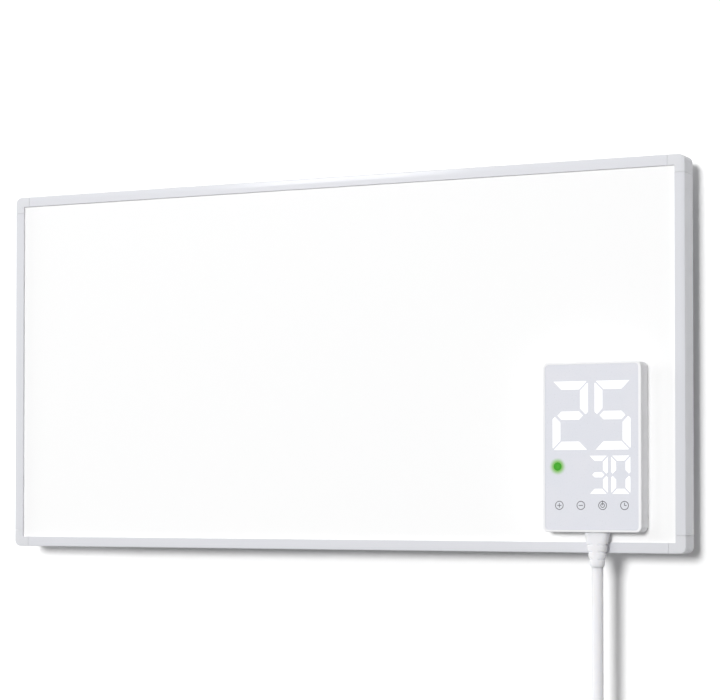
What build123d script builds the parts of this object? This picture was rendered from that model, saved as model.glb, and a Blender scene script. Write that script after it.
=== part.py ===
from build123d import *
import os
from math import atan, cos, degrees, hypot, pi, radians, sin, sqrt, tan

os.makedirs("parts", exist_ok=True)

# A flat infrared panel heater that hangs on two wall studs, with a control box on its front and a
# mains cord that ends in a round two-pin plug. Millimetres. +Z is up, the front faces -Y, and the
# origin is the middle of the wall bolt pattern, on the wall's surface.
#
# A "depth" is a distance behind the panel's front face, so what stands in front of it is negative.

# ---------------------------------------------------------------- plays and screws
close_play = 0.05  # between pieces that fit closely
screw_hole_play = 0.15
wide_hole_play = 0.5
screw_radius = 1.45  # self-tapping screws of the back
screw_length = 6.5
screw_head_radius = 2.8
screw_head_height = 2.0
crown_share = 0.4  # round of a pan head, as a share of its height
cross_length_share = 1.1  # of the head's radius
cross_width_share = 0.22
cross_depth_share = 0.5  # of the head's height

# ---------------------------------------------------------------- driving dimensions: the panel
panel_width = 600.0
panel_height = 300.0
panel_depth = 20.0
wall_gap = 18.0  # from the wall to the back of the panel

edge_wall = 1.5  # outer wall of the frame
edge_lip = 1.2  # thickness of the front and back lips
front_lip = 8.0  # how far the frame covers the front plate
back_lip = 12.0
channel_width = 2.5  # of the outer channel that the corners' tongues fill
rib_wall = 1.0
rib_front = 6.0  # depth at which the rib starts
corner_arm = 13.5
corner_joint = 0.2  # open joint between a bar's end and the corner beside it
corner_radius = 5.0
tongue_length = 15.0  # of a corner's tongue inside the frame bar
tongue_end_play = 0.2
edge_bevel = 0.4
crown_width = 4.0  # outer part of the front lip that curves back to its edge
crown_drop = 0.25

seal_thickness = 0.8
seal_width = 6.0  # from the plate's edge to the lip's
plate_thickness = 1.5
plate_play = 0.5  # between the front plate's edge and the frame's wall
film_thickness = 0.8
film_inset = 12.0
cool_margin = 15.0  # unheated border round the control box
bus_thickness = 0.3
bus_width = 8.0
bus_inset = 2.0  # bus bar's edge, in from the film's edge
cover_thickness = 0.8
cover_play = 0.2
cover_radius = 1.0

# ---------------------------------------------------------------- driving dimensions: wall mount
bracket_spacing = 400.0
bracket_width = 30.0
bracket_height = 60.0
bracket_thickness = 2.0
bracket_corner = 4.0
wall_hole_spacing = 40.0
wall_hole_radius = 2.75
stud_radius = 3.0
stud_neck_radius = 2.5
stud_neck_recess = 0.2  # the neck's riveted end lies this far off the wall
stud_head_radius = 6.0
stud_head_thickness = 2.5
stud_head_bevel = 0.6
stud_from_top = 60.0  # of the panel, when it hangs
hanger_thickness = 1.5
hanger_width = 64.0
hanger_web = 40.0  # outer width of the raised middle
hanger_height = 50.0
hanger_rise = 8.7  # from the back cover to the outer face of the raised middle
hanger_bend = 2.0
hanger_top_above_stud = 16.0
slot_play = 0.3
head_play = 0.7
keyhole_drop = 12.0  # how far the panel lifts before its studs come free
rivet_radius = 1.6
rivet_head_radius = 3.2
rivet_head_height = 0.9
rivet_tail_radius = 2.6
rivet_round = 0.5
rivet_spacing = 36.0
spacer_radius = 10.0
spacer_from_bottom = 40.0
spacer_floor = 2.0
spacer_round = 1.2

# ---------------------------------------------------------------- driving dimensions: the cord
cord_diameter = 9.0
cord_from_control_centre = 2.0
relief_length = 26.3
relief_top_side = 5.0  # of the boot, beside the cord at its top
relief_top_wall = 1.0  # before and behind the cord at its top
relief_tip_wall = 0.7
relief_round = 4.0
relief_tip_round_share = 0.48  # of the tip's width, so the tip is almost round
relief_core_round_share = 0.4
relief_grooves = 3
groove_first = 8.0
groove_pitch = 5.6
groove_width = 1.2
groove_depth = 0.9
spine_width = 4.0
neck_width = 14.0
neck_depth = 8.0
flange_overlap = 2.0  # of the boot's flange, beside the neck
flange_lap = 0.2  # before and behind the neck
flange_thickness = 2.0
sheath_top = 12.0  # sheath's end, above the case's bottom
core_diameter = 2.2
core_spread = 2.4
core_straight = 4.0
turn_gap = 0.6  # between neighbouring turns of the coil
coil_outer = 60.0  # radius of the outer turn's centre line
coil_whole_turns = 5
coil_climb_turns = 0.5
coil_start_angle = 50.0  # degrees clockwise from the top
coil_below_cord = 198.5  # coil's centre, below the strain relief's tip
coil_left_of_cord = 14.0  # so that the tied coil and the plug hang in balance
coil_samples = 600  # points on which the gap between turns is measured
drop_bend_share = 0.45  # of the shorter run, taken by the bend
tail_length = 40.0
tie_width = 10.0
tie_thickness = 1.0
tie_angle = 70.0
tie_slack = 0.8

# ---------------------------------------------------------------- driving dimensions: the plug
plug_radius = 18.5
plug_length = 34.0
plug_boot_length = 26.0
plug_boot_tip_wall = 0.9
plug_boot_root = 7.5
plug_grip = 12.0
plug_grip_length = 6.0
plug_rim_length = 20.0
plug_round = 1.8
plug_pin_radius = 2.4
plug_pin_length = 19.0
plug_pin_spacing = 19.0
pin_root_radius = 2.0
pin_root_length = 8.0
pin_tip_round = 1.2
clip_groove_width = 7.0
clip_groove_depth = 2.4
clip_groove_length = 18.0
clip_width = 5.0
clip_thickness = 1.0
clip_end_play = 1.0

# ---------------------------------------------------------------- driving dimensions: control box
control_width = 79.3
control_height = 128.8
control_from_right = 69.5  # its centre, from the panel's right edge
control_from_bottom = 80.2
control_radius = 4.5
case_wall = 2.0
case_floor = 1.8  # the rear shell's back wall
rim_side = 2.3
rim_end = 1.6
ledge_width = 2.0
ledge_thickness = 1.2
inner_corner = 1.0
face_thickness = 1.6
face_sink = 0.15
display_thickness = 3.75
board_thickness = 1.6
pad_thickness = 0.8
pad_inset = 3.0
case_clearance = 0.15
case_edge_radius = 0.8
tongue_wall = 1.6
boss_inset = 5.6
boss_radius = 3.2
boss_seat_height = 2.6  # of the rear shell's bosses round the case screws' heads
boss_seat_floor = 2.0
stand_width = 2.0
stand_length = 8.0
stand_spacing = 34.0
mount_boss_height = 4.0
mount_screw_x = 28.0
mount_screw_z = 45.0
mount_screw_radius = 1.5
mount_head_radius = 2.8
mount_head_height = 1.8
case_screw_radius = 1.2
case_screw_length = 8.0
case_head_radius = 2.2
case_head_height = 1.4
case_head_sink = 2.4

clamp_from_bottom = 8.0  # clamp's centre, above the case's bottom
clamp_length = 6.0
clamp_thickness = 1.0
clamp_room = 0.2  # between the clamp and the face
clamp_foot_thickness = 1.5
clamp_boss_radius = 2.8
clamp_boss_height = 2.9
clamp_screw_room = 1.75  # between the clamp's arch and its screws' heads
clamp_screw_bite = 2.6
saddle_width = 6.0
saddle_height = 1.2  # from the case's floor to the cord

digit_width = 28.6
digit_height = 52.1
digit_stroke = 6.4
digit_pitch = 33.8
small_digit_width = 15.2
small_digit_height = 28.8
small_digit_stroke = 3.9
small_digit_pitch = 17.8
segment_gap = 1.1
upright_tip_share = 0.3  # of the stroke, from its outer edge to its point at mid height
corner_cut_share = 0.27  # of the stroke, cut off a corner where two lit strokes meet
inlay_depth = 0.5
digits_from_top = 14.4
small_digits_from_top = 71.0
small_digits_x = 14.45  # middle of the pair, from the control box's centre
lamp_radius = 3.2
lamp_x = -27.15
lamp_from_top = 79.0
key_pitch = 17.35
key_radius = 3.4
key_line = 0.6
key_ring_share = 0.52  # radius of the power sign's inner ring
key_stem_share = 1.1
key_hand_share = 0.6  # length of the timer sign's long hand
key_short_hand_share = 0.5
keys_from_bottom = 20.3
keys_x = 0.2
touch_pad_radius = 4.5
display_width = 66.0
display_from_top = 11.0
board_play = 0.6
board_from_bottom = 12.8
component_x = 17.0
component_z = 12.0
relay_length = 20.0
relay_width = 16.0
relay_corner = 0.8
capacitor_length = 18.0
capacitor_width = 11.0
capacitor_corner = 1.5
capacitor_bevel = 0.8
fuse_radius = 2.6
fuse_glass_radius = 2.3
fuse_length = 20.0
fuse_cap = 5.0
fuse_z = 35.0

# ---------------------------------------------------------------- driving dimensions: wiring
wire_diameter = 2.4
sensor_wire_diameter = 1.8
wire_pitch = 5.0
wire_bend = 3.5
wire_tip_bend = 2.0
wire_depth = 9.0
sensor_wire_depth = 14.0
wire_channel = 6.0
pocket_margin = 5.0
terminal_drop = 30.0
terminal_side = 3.3  # of the block, beside its outer wires
terminal_height = 10.0
terminal_rise = 5.6
terminal_mouth = 1.3
grommet_drop = 14.0  # below the control box's centre
grommet_room = 2.3  # beside the outer wires
grommet_height = 7.0
grommet_flange = 1.2
grommet_wall = 1.0
cutout_above_control = 28.0
cutout_size = 14.0
cutout_height = 8.0
cutout_corner = 2.0
sensor_right = 19.5
sensor_above_control = 10.0
sensor_radius = 3.0
sensor_height = 4.0
sensor_round = 0.8
earth_from_bottom = 24.0
earth_stud_radius = 2.0
earth_stud_length = 10.5
earth_nut_height = 3.0
earth_nut_radius = 4.0
lug_rise = 3.0
lug_radius = 4.2
lug_thickness = 1.0
lug_barrel_length = 6.0
lug_barrel_root = 0.4  # how far the barrel reaches into the ring
earth_spacer_radius = 3.6

# ---------------------------------------------------------------- places worked out from these
hang_drop = panel_height / 2 - stud_from_top  # panel centre below the middle of the bolt pattern
panel_front = -(wall_gap + panel_depth)
panel_level = -hang_drop
half_width = panel_width / 2
half_height = panel_height / 2

rib_from_edge = edge_wall + channel_width
rib_inner = rib_from_edge + rib_wall
corner_screw_inset = (rib_inner + back_lip) / 2
tongue_outer = edge_wall + close_play
tongue_inner = rib_from_edge - close_play

plate_inset = edge_wall + plate_play
plate_front = edge_lip + seal_thickness
plate_back = plate_front + plate_thickness
film_back = plate_back + film_thickness
bus_back = film_back + bus_thickness
cover_back = panel_depth - edge_lip
cover_front = cover_back - cover_thickness
hanger_middle = hanger_top_above_stud - hanger_height / 2  # above the stud

# The box is as deep as the cord between its saddle and its clamp, and splits at the cord's centre.
control_x = half_width - control_from_right
control_z = control_from_bottom - half_height
control_back = plate_front - pad_thickness
floor_front = control_back - case_floor
parting = floor_front - saddle_height - cord_diameter / 2
clamp_outer = cord_diameter / 2 + close_play + clamp_thickness
face_back = parting - clamp_outer - clamp_room
face_front = face_back - face_thickness
control_front = face_front - face_sink
ledge_back = face_back + ledge_thickness
board_front = face_back + display_thickness
board_back = board_front + board_thickness
cord_x = control_x + cord_from_control_centre
case_bottom = control_z - control_height / 2


def at_depth(depth, x=0.0, z=0.0):
    """A plane parallel to the front, seen from the front: X right, Y up, normal towards the viewer."""
    origin = (x, panel_front + depth, panel_level + z)
    return Plane(origin=origin, x_dir=(1, 0, 0), z_dir=(0, -1, 0))


def in_control(depth):
    return at_depth(depth, control_x, control_z)


def off_wall(distance, x=0.0):
    """A plane parallel to the wall, at the height of the bolt pattern's middle."""
    return Plane(origin=(x, -distance, 0), x_dir=(1, 0, 0), z_dir=(0, -1, 0))


def inside(x, depth, z):
    """A point of the row, from a place on the panel and a depth."""
    return Vector(x, panel_front + depth, panel_level + z)


def save(part, name):
    part.label = name
    export_step(part, f"parts/{name}.step")
    print(name, round(part.volume), "mm3")


def pan_screws(seat, points, shank_radius, shank_length, head_radius, head_height, side=1):
    """Cross-head screws whose heads stand on the seat; side is -1 where the head is behind it."""
    cross_size = (cross_length_share * head_radius, cross_width_share * head_radius)
    with BuildPart() as screws:
        with BuildSketch(seat):
            with Locations(*points):
                Circle(shank_radius)
        extrude(amount=-side * shank_length)
        with BuildSketch(seat):
            with Locations(*points):
                Circle(head_radius)
        extrude(amount=side * head_height)
        top = seat.offset(side * head_height)
        rims = screws.edges().filter_by(GeomType.CIRCLE)
        crowns = [edge for edge in rims if abs(top.to_local_coords(edge.center()).Z) < close_play]
        fillet(crowns, radius=crown_share * head_height)
        with BuildSketch(top):
            with Locations(*points):
                Rectangle(*cross_size)
                Rectangle(*reversed(cross_size))
        extrude(amount=-side * cross_depth_share * head_height, mode=Mode.SUBTRACT)
    return screws.part


# ================================================================ the frame
# Four extruded aluminium bars, square cut, joined by moulded corners whose tongues fill the bars'
# outer channel.
def crown_section(plane):
    """What the bevel and the crown take off a lip, X inward and Y back, drawn with room outside."""
    crown_run = crown_width - edge_bevel
    crown_radius = (crown_run**2 + crown_drop**2) / (2 * crown_drop)
    with BuildSketch(plane) as section:
        with BuildLine():
            Line((0, crown_drop + edge_bevel), (edge_bevel, crown_drop))
            RadiusArc((edge_bevel, crown_drop), (crown_width, 0), -crown_radius)
            Polyline(
                (crown_width, 0),
                (crown_width, -edge_lip),
                (-edge_lip, -edge_lip),
                (-edge_lip, crown_drop + edge_bevel),
                (0, crown_drop + edge_bevel),
            )
        make_face()
    return section.sketch


def frame_bar(length, inward, edge_point):
    """A bar whose section runs inward from its edge point, swept along the panel's edge."""
    inward = Vector(*inward)
    along = inward.cross(Vector(0, 1, 0))
    with BuildPart() as bar:
        with BuildSketch(Plane(origin=edge_point, x_dir=inward, z_dir=along)):
            Rectangle(edge_wall, panel_depth, align=Align.MIN)
            Rectangle(front_lip, edge_lip, align=Align.MIN)
            with Locations((0, cover_back)):
                Rectangle(back_lip, edge_lip, align=Align.MIN)
            with Locations((rib_from_edge, rib_front)):
                Rectangle(rib_wall, panel_depth - rib_front, align=Align.MIN)
        extrude(amount=length / 2, both=True)
        crown = crown_section(Plane(origin=edge_point, x_dir=inward, z_dir=along))
        extrude(crown, amount=length, both=True, mode=Mode.SUBTRACT)
    return bar.part


def frame_corner(x_in, z_in):
    """An L of lips, outer walls and tongues, drawn from the panel's own corner inwards."""
    corner = (-x_in * half_width, -z_in * half_height)
    forward = x_in * z_in  # the plane's normal faces the viewer at two of the four corners
    fill_back = cover_back - tongue_end_play
    tongue_reach = corner_arm + tongue_length
    layers = (  # reach along both edges, start and end across the arm, back and front depth
        (corner_arm, 0, edge_wall, panel_depth, 0),
        (corner_arm, 0, front_lip, edge_lip, 0),
        (corner_arm, 0, back_lip, panel_depth, cover_back),
        (corner_arm, edge_wall, tongue_inner, cover_back, rib_front),
        (tongue_reach, tongue_outer, tongue_inner, fill_back, rib_front + tongue_end_play),
    )
    with BuildPart() as piece:
        for reach, start, end, back, front in layers:
            plane = Plane(
                origin=inside(corner[0], back, corner[1]),
                x_dir=(x_in, 0, 0),
                z_dir=(0, -forward, 0),
            )
            with BuildSketch(plane) as ell:
                Polygon(
                    (start, start), (reach, start), (reach, end), (end, end), (end, reach), (start, reach),
                    align=None,
                )
                fillet(ell.vertices().sort_by_distance((start, start))[0], corner_radius - start)
                if end < corner_radius:
                    fillet(ell.vertices().sort_by_distance((end, end))[0], corner_radius - end)
            extrude(amount=forward * (back - front))
            if back == panel_depth:
                lip_plane = plane
        with BuildSketch(lip_plane):
            with Locations((corner_screw_inset, corner_screw_inset)):
                Circle(screw_radius + screw_hole_play)
        extrude(amount=forward * edge_lip, mode=Mode.SUBTRACT)
        # The crown and the bevel follow the outline round the corner.
        ends = (
            inside(corner[0] + x_in * 2 * corner_arm, 0, corner[1]),
            inside(corner[0], 0, corner[1]),
            inside(corner[0], 0, corner[1] + z_in * 2 * corner_arm),
        )
        with BuildLine() as outline:
            FilletPolyline(*ends, radius=corner_radius)
        start = Plane(origin=ends[0], x_dir=(0, 0, z_in), z_dir=(-z_in, 0, 0))
        sweep(crown_section(start), path=outline.wires()[0], mode=Mode.SUBTRACT)
    return piece.part


long_bar = panel_width - 2 * (corner_arm + corner_joint)
short_bar = panel_height - 2 * (corner_arm + corner_joint)
save(frame_bar(long_bar, (0, 0, -1), inside(0, 0, half_height)), "frame_top")
save(frame_bar(long_bar, (0, 0, 1), inside(0, 0, -half_height)), "frame_bottom")
save(frame_bar(short_bar, (1, 0, 0), inside(-half_width, 0, 0)), "frame_left")
save(frame_bar(short_bar, (-1, 0, 0), inside(half_width, 0, 0)), "frame_right")
save(frame_corner(1, -1), "corner_top_left")
save(frame_corner(-1, -1), "corner_top_right")
save(frame_corner(1, 1), "corner_bottom_left")
save(frame_corner(-1, 1), "corner_bottom_right")

# One self-tapping screw through each corner's back lip into the back cover.
corner_screw_places = [
    (x_side * (half_width - corner_screw_inset), z_side * (half_height - corner_screw_inset))
    for x_side in (-1, 1)
    for z_side in (-1, 1)
]
save(
    pan_screws(
        at_depth(panel_depth),
        corner_screw_places,
        screw_radius,
        screw_length,
        screw_head_radius,
        screw_head_height,
        side=-1,
    ),
    "corner_screws",
)

# ================================================================ the heating stack
# From the front: seal, front plate, heating film with its bus bars, insulation, back cover.
plate_width = panel_width - 2 * plate_inset
plate_height = panel_height - 2 * plate_inset
plate_radius = corner_radius - plate_inset
control_mounts = [
    (control_x + x_side * mount_screw_x, control_z + z_side * mount_screw_z)
    for x_side in (-1, 1)
    for z_side in (-1, 1)
]
grommet_place = (control_x, control_z - grommet_drop)
grommet_length = 3 * wire_pitch + wire_diameter + 2 * (grommet_wall + grommet_room)

with BuildPart() as plate_seal:
    with BuildSketch(at_depth(plate_front)):
        RectangleRounded(plate_width, plate_height, plate_radius)
        seal_inner = 2 * seal_width
        Rectangle(plate_width - seal_inner, plate_height - seal_inner, mode=Mode.SUBTRACT)
    extrude(amount=seal_thickness)
save(plate_seal.part, "plate_seal")

with BuildPart() as front_plate:
    with BuildSketch(at_depth(plate_back)):
        RectangleRounded(plate_width, plate_height, plate_radius)
        with Locations(*control_mounts):
            Circle(mount_screw_radius + screw_hole_play, mode=Mode.SUBTRACT)
        with Locations(grommet_place):
            SlotOverall(grommet_length, grommet_height, mode=Mode.SUBTRACT)
    extrude(amount=plate_thickness)
save(front_plate.part, "front_plate")

# The film stops short of the control box, so the film and the lower bus bar step round it.
film_right = half_width - film_inset
film_top = half_height - film_inset
cool_left = control_x - control_width / 2 - cool_margin
cool_top = control_z + control_height / 2 + cool_margin
with BuildPart() as heating_film:
    with BuildSketch(at_depth(film_back)):
        Polygon(
            (-film_right, -film_top), (cool_left, -film_top), (cool_left, cool_top),
            (film_right, cool_top), (film_right, film_top), (-film_right, film_top),
            align=None,
        )
    extrude(amount=film_thickness)
save(heating_film.part, "heating_film")

bus_end = film_right - bus_inset
bus_level = film_top - bus_inset - bus_width / 2
with BuildPart() as bus_bar_upper:
    with BuildSketch(at_depth(bus_back, 0, bus_level)):
        Rectangle(2 * bus_end, bus_width)
    extrude(amount=bus_thickness)
save(bus_bar_upper.part, "bus_bar_upper")

bus_step_x = cool_left - bus_inset - bus_width / 2
bus_step_z = cool_top + bus_inset + bus_width / 2
bus_half = bus_width / 2
with BuildPart() as bus_bar_lower:
    with BuildSketch(at_depth(bus_back)):
        Polygon(
            (-bus_end, -bus_level - bus_half), (bus_step_x + bus_half, -bus_level - bus_half),
            (bus_step_x + bus_half, bus_step_z - bus_half), (bus_end, bus_step_z - bus_half),
            (bus_end, bus_step_z + bus_half), (bus_step_x - bus_half, bus_step_z + bus_half),
            (bus_step_x - bus_half, -bus_level + bus_half), (-bus_end, -bus_level + bus_half),
            align=None,
        )
    extrude(amount=bus_thickness)
save(bus_bar_lower.part, "bus_bar_lower")

# Places of the pieces in the wiring pocket behind the control box.
wire_row_z = grommet_place[1]
cutout_place = (control_x - wire_pitch / 2, control_z + cutout_above_control)
sensor_place = (control_x + sensor_right, control_z + sensor_above_control)
earth_place = (control_x + 1.5 * wire_pitch, earth_from_bottom - half_height)
pocket_left = bus_step_x - bus_half - pocket_margin
pocket_right = control_x + control_width / 2
pocket_bottom = earth_place[1] - pocket_margin
pocket_top = control_z + mount_screw_z + pocket_margin
hanger_places = [(-bracket_spacing / 2, hang_drop), (bracket_spacing / 2, hang_drop)]
rivet_places = [
    (x + x_side * (hanger_width + hanger_web) / 4, z + hanger_middle + z_side * rivet_spacing / 2)
    for x, z in hanger_places
    for x_side in (-1, 1)
    for z_side in (-1, 1)
]
spacer_places = [(x, spacer_from_bottom - half_height) for x, _ in hanger_places]

core_inset = rib_inner + cover_play
with BuildPart() as insulation_board:
    with BuildSketch(at_depth(cover_front)):
        Rectangle(panel_width - 2 * core_inset, panel_height - 2 * core_inset)
        with Locations(((pocket_left + pocket_right) / 2, (pocket_bottom + pocket_top) / 2)):
            pocket_size = (pocket_right - pocket_left, pocket_top - pocket_bottom)
            Rectangle(*pocket_size, mode=Mode.SUBTRACT)
        with Locations((cutout_place[0], (pocket_bottom + bus_level + bus_half) / 2)):
            channel_height = bus_level + bus_half - pocket_bottom
            Rectangle(wire_channel, channel_height, mode=Mode.SUBTRACT)
        with Locations(*corner_screw_places):
            Circle(screw_radius + wide_hole_play, mode=Mode.SUBTRACT)
        with Locations(*rivet_places):
            Circle(rivet_head_radius + wide_hole_play, mode=Mode.SUBTRACT)
        with Locations(*spacer_places):
            Circle(screw_radius + wide_hole_play, mode=Mode.SUBTRACT)
    extrude(amount=cover_front - bus_back)
save(insulation_board.part, "insulation_board")

with BuildPart() as back_cover:
    with BuildSketch(at_depth(cover_back)):
        RectangleRounded(panel_width - 2 * core_inset, panel_height - 2 * core_inset, cover_radius)
        with Locations(*corner_screw_places, *spacer_places):
            Circle(screw_radius + close_play, mode=Mode.SUBTRACT)
        with Locations(*rivet_places):
            Circle(rivet_radius + close_play, mode=Mode.SUBTRACT)
    extrude(amount=cover_thickness)
save(back_cover.part, "back_cover")


# ================================================================ wiring inside the panel
def wire(points, bends, diameter):
    """A round wire along straight runs joined by tangent arcs."""
    with BuildPart() as one_wire:
        with BuildLine() as route:
            FilletPolyline(*points, radius=bends)
        path = route.wires()[0]
        with BuildSketch(Plane(origin=path @ 0, z_dir=path % 0)):
            Circle(diameter / 2)
        sweep(path=path)
    return one_wire.part


terminal_top = control_z - terminal_drop + terminal_height / 2
terminal_depth = board_back + terminal_rise / 2
pole_x = [control_x + (pole - 1.5) * wire_pitch for pole in range(4)]


def through_grommet(x, depth):
    """From a terminal's mouth up and back through the grommet to a depth in the pocket."""
    return [
        inside(x, terminal_depth, terminal_top),
        inside(x, terminal_depth, wire_row_z),
        inside(x, depth, wire_row_z),
    ]


live_route = [
    *through_grommet(pole_x[0], wire_depth),
    inside(bus_step_x, wire_depth, wire_row_z),
    inside(bus_step_x, bus_back, wire_row_z),
]
save(wire(live_route, [wire_bend, wire_bend, wire_tip_bend], wire_diameter), "wire_live")

cutout_bottom = cutout_place[1] - cutout_size / 2
neutral_in = wire(
    [*through_grommet(pole_x[1], wire_depth), inside(pole_x[1], wire_depth, cutout_bottom)],
    [wire_bend, wire_bend],
    wire_diameter,
)
neutral_out = wire(
    [
        inside(pole_x[1], wire_depth, cutout_bottom + cutout_size),
        inside(pole_x[1], wire_depth, bus_level),
        inside(pole_x[1], bus_back, bus_level),
    ],
    [wire_tip_bend],
    wire_diameter,
)
save(Compound(children=[neutral_in, neutral_out]), "wire_neutral")

sensor_route = [
    *through_grommet(pole_x[2], sensor_wire_depth),
    inside(sensor_place[0], sensor_wire_depth, wire_row_z),
    inside(sensor_place[0], sensor_wire_depth, sensor_place[1]),
    inside(sensor_place[0], plate_back + sensor_height, sensor_place[1]),
]
sensor_bends = [wire_bend, wire_bend, wire_bend, wire_tip_bend]
save(wire(sensor_route, sensor_bends, sensor_wire_diameter), "wire_sensor")

lug_depth = plate_back + lug_rise
lug_barrel_end = earth_place[1] + lug_radius + lug_barrel_length
earth_route = [
    *through_grommet(pole_x[3], lug_depth),
    inside(pole_x[3], lug_depth, lug_barrel_end),
]
save(wire(earth_route, [wire_bend, wire_bend], wire_diameter), "wire_earth")

# A screw stud on the front plate, with the earth wire's ring lug under a nut.
with BuildPart() as earth_stud:
    with BuildSketch(at_depth(plate_back, *earth_place)):
        Circle(earth_stud_radius)
    extrude(amount=-earth_stud_length)
with BuildPart() as earth_lug:
    with BuildSketch(at_depth(lug_depth + lug_thickness / 2, *earth_place)):
        Circle(lug_radius)
        Circle(earth_stud_radius + screw_hole_play, mode=Mode.SUBTRACT)
    extrude(amount=lug_thickness)
    barrel_plane = Plane(
        origin=inside(earth_place[0], lug_depth, lug_barrel_end), x_dir=(1, 0, 0), z_dir=(0, 0, -1)
    )
    with BuildSketch(barrel_plane):
        Circle(wire_diameter / 2 + lug_thickness / 2)
    extrude(amount=lug_barrel_length + lug_barrel_root)
    with BuildSketch(at_depth(plate_back, *earth_place)):
        Circle(earth_stud_radius + screw_hole_play)
    extrude(amount=-earth_stud_length, mode=Mode.SUBTRACT)
with BuildPart() as earth_nut:
    with BuildSketch(at_depth(lug_depth + lug_thickness / 2 + earth_nut_height, *earth_place)):
        RegularPolygon(earth_nut_radius, 6)
        Circle(earth_stud_radius + close_play, mode=Mode.SUBTRACT)
    extrude(amount=earth_nut_height)
with BuildPart() as earth_spacer:
    with BuildSketch(at_depth(lug_depth - lug_thickness / 2, *earth_place)):
        Circle(earth_spacer_radius)
        Circle(earth_stud_radius + close_play, mode=Mode.SUBTRACT)
    extrude(amount=lug_rise - lug_thickness / 2)
save(
    Compound(children=[earth_stud.part, earth_lug.part, earth_nut.part, earth_spacer.part]),
    "earth_terminal",
)

with BuildPart() as thermal_cutout:
    with BuildSketch(at_depth(plate_back + cutout_height, *cutout_place)):
        RectangleRounded(cutout_size, cutout_size, cutout_corner)
    extrude(amount=cutout_height)
save(thermal_cutout.part, "thermal_cutout")

with BuildPart() as temperature_sensor:
    with BuildSketch(at_depth(plate_back + sensor_height, *sensor_place)):
        Circle(sensor_radius)
    extrude(amount=sensor_height)
    rear_rim = temperature_sensor.edges().filter_by(GeomType.CIRCLE).sort_by(Axis.Y)[-1]
    fillet(rear_rim, radius=sensor_round)
save(temperature_sensor.part, "temperature_sensor")

# The oval rubber grommet lines the slot through the control box's floor, pad and front plate.
with BuildPart() as cable_grommet:
    with BuildSketch(at_depth(plate_back + grommet_flange, *grommet_place)):
        SlotOverall(grommet_length + 2 * grommet_flange, grommet_height + 2 * grommet_flange)
    extrude(amount=grommet_flange)
    with BuildSketch(at_depth(plate_back, *grommet_place)):
        SlotOverall(grommet_length - 2 * close_play, grommet_height - 2 * close_play)
    extrude(amount=plate_back - floor_front + grommet_flange)
    with BuildSketch(at_depth(plate_back + grommet_flange, *grommet_place)):
        SlotOverall(grommet_length - 2 * grommet_wall, grommet_height - 2 * grommet_wall)
    extrude(amount=panel_depth, mode=Mode.SUBTRACT)
save(cable_grommet.part, "cable_grommet")

# ================================================================ the back: hangers and spacers
hanger_top = cover_back + hanger_rise
stud_seat = hanger_top - hanger_thickness  # front face of the raised middle
for side, (x, z) in zip(("left", "right"), hanger_places):
    with BuildPart() as hanger_plate:
        foot_z = panel_level + z + hanger_top_above_stud - hanger_height
        foot = Plane(origin=(x, panel_front + cover_back, foot_z))
        with BuildSketch(foot) as hat:
            Rectangle(hanger_width, hanger_thickness, align=(Align.CENTER, Align.MIN))
            Rectangle(hanger_web, hanger_rise, align=(Align.CENTER, Align.MIN))
            hollow = (hanger_web - 2 * hanger_thickness, hanger_rise - hanger_thickness)
            Rectangle(*hollow, align=(Align.CENTER, Align.MIN), mode=Mode.SUBTRACT)
            fillet(hat.vertices().group_by(Axis.Y)[-1], radius=hanger_bend)
        extrude(amount=hanger_height)
        with BuildSketch(at_depth(hanger_top, x, z)):
            Circle(stud_radius + slot_play)
            with Locations((0, -keyhole_drop / 2)):
                Rectangle(2 * (stud_radius + slot_play), keyhole_drop)
            with Locations((0, -keyhole_drop)):
                Circle(stud_head_radius + head_play)
        extrude(amount=hanger_thickness, mode=Mode.SUBTRACT)
        with BuildSketch(at_depth(hanger_top, 0, 0)):
            with Locations(*rivet_places):
                Circle(rivet_radius + close_play)
        extrude(amount=hanger_top - cover_back, mode=Mode.SUBTRACT)
    save(hanger_plate.part, f"hanger_plate_{side}")

# Blind rivets, a flat head outside and an upset head inside the back cover.
with BuildPart() as hanger_rivets:
    with BuildSketch(at_depth(cover_back + hanger_thickness + rivet_head_height)):
        with Locations(*rivet_places):
            Circle(rivet_head_radius)
    extrude(amount=rivet_head_height)
    with BuildSketch(at_depth(cover_back + hanger_thickness)):
        with Locations(*rivet_places):
            Circle(rivet_radius)
    extrude(amount=hanger_thickness + cover_thickness)
    with BuildSketch(at_depth(cover_front)):
        with Locations(*rivet_places):
            Circle(rivet_tail_radius)
    extrude(amount=rivet_head_height)
    outer_rims = hanger_rivets.edges().filter_by(GeomType.CIRCLE).group_by(Axis.Y)[-1]
    fillet(outer_rims, radius=rivet_round)
save(hanger_rivets.part, "hanger_rivets")

# Rubber stand-offs keep the panel's lower edge as far from the wall as the hangers keep its upper one.
spacer_height = wall_gap + panel_depth - cover_back
with BuildPart() as wall_spacers:
    with BuildSketch(at_depth(cover_back + spacer_height)):
        with Locations(*spacer_places):
            Circle(spacer_radius)
            Circle(screw_head_radius + wide_hole_play, mode=Mode.SUBTRACT)
    extrude(amount=spacer_height)
    with BuildSketch(at_depth(cover_back + spacer_floor)):
        with Locations(*spacer_places):
            Circle(screw_head_radius + wide_hole_play)
            Circle(screw_radius + screw_hole_play, mode=Mode.SUBTRACT)
    extrude(amount=spacer_floor)
    wall_rims = wall_spacers.edges().filter_by(GeomType.CIRCLE).group_by(Axis.Y)[-1]
    fillet(wall_rims.group_by(SortBy.RADIUS)[-1], radius=spacer_round)
save(wall_spacers.part, "wall_spacers")
save(
    pan_screws(
        at_depth(cover_back + spacer_floor),
        spacer_places,
        screw_radius,
        screw_length,
        screw_head_radius,
        screw_head_height,
        side=-1,
    ),
    "spacer_screws",
)

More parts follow.
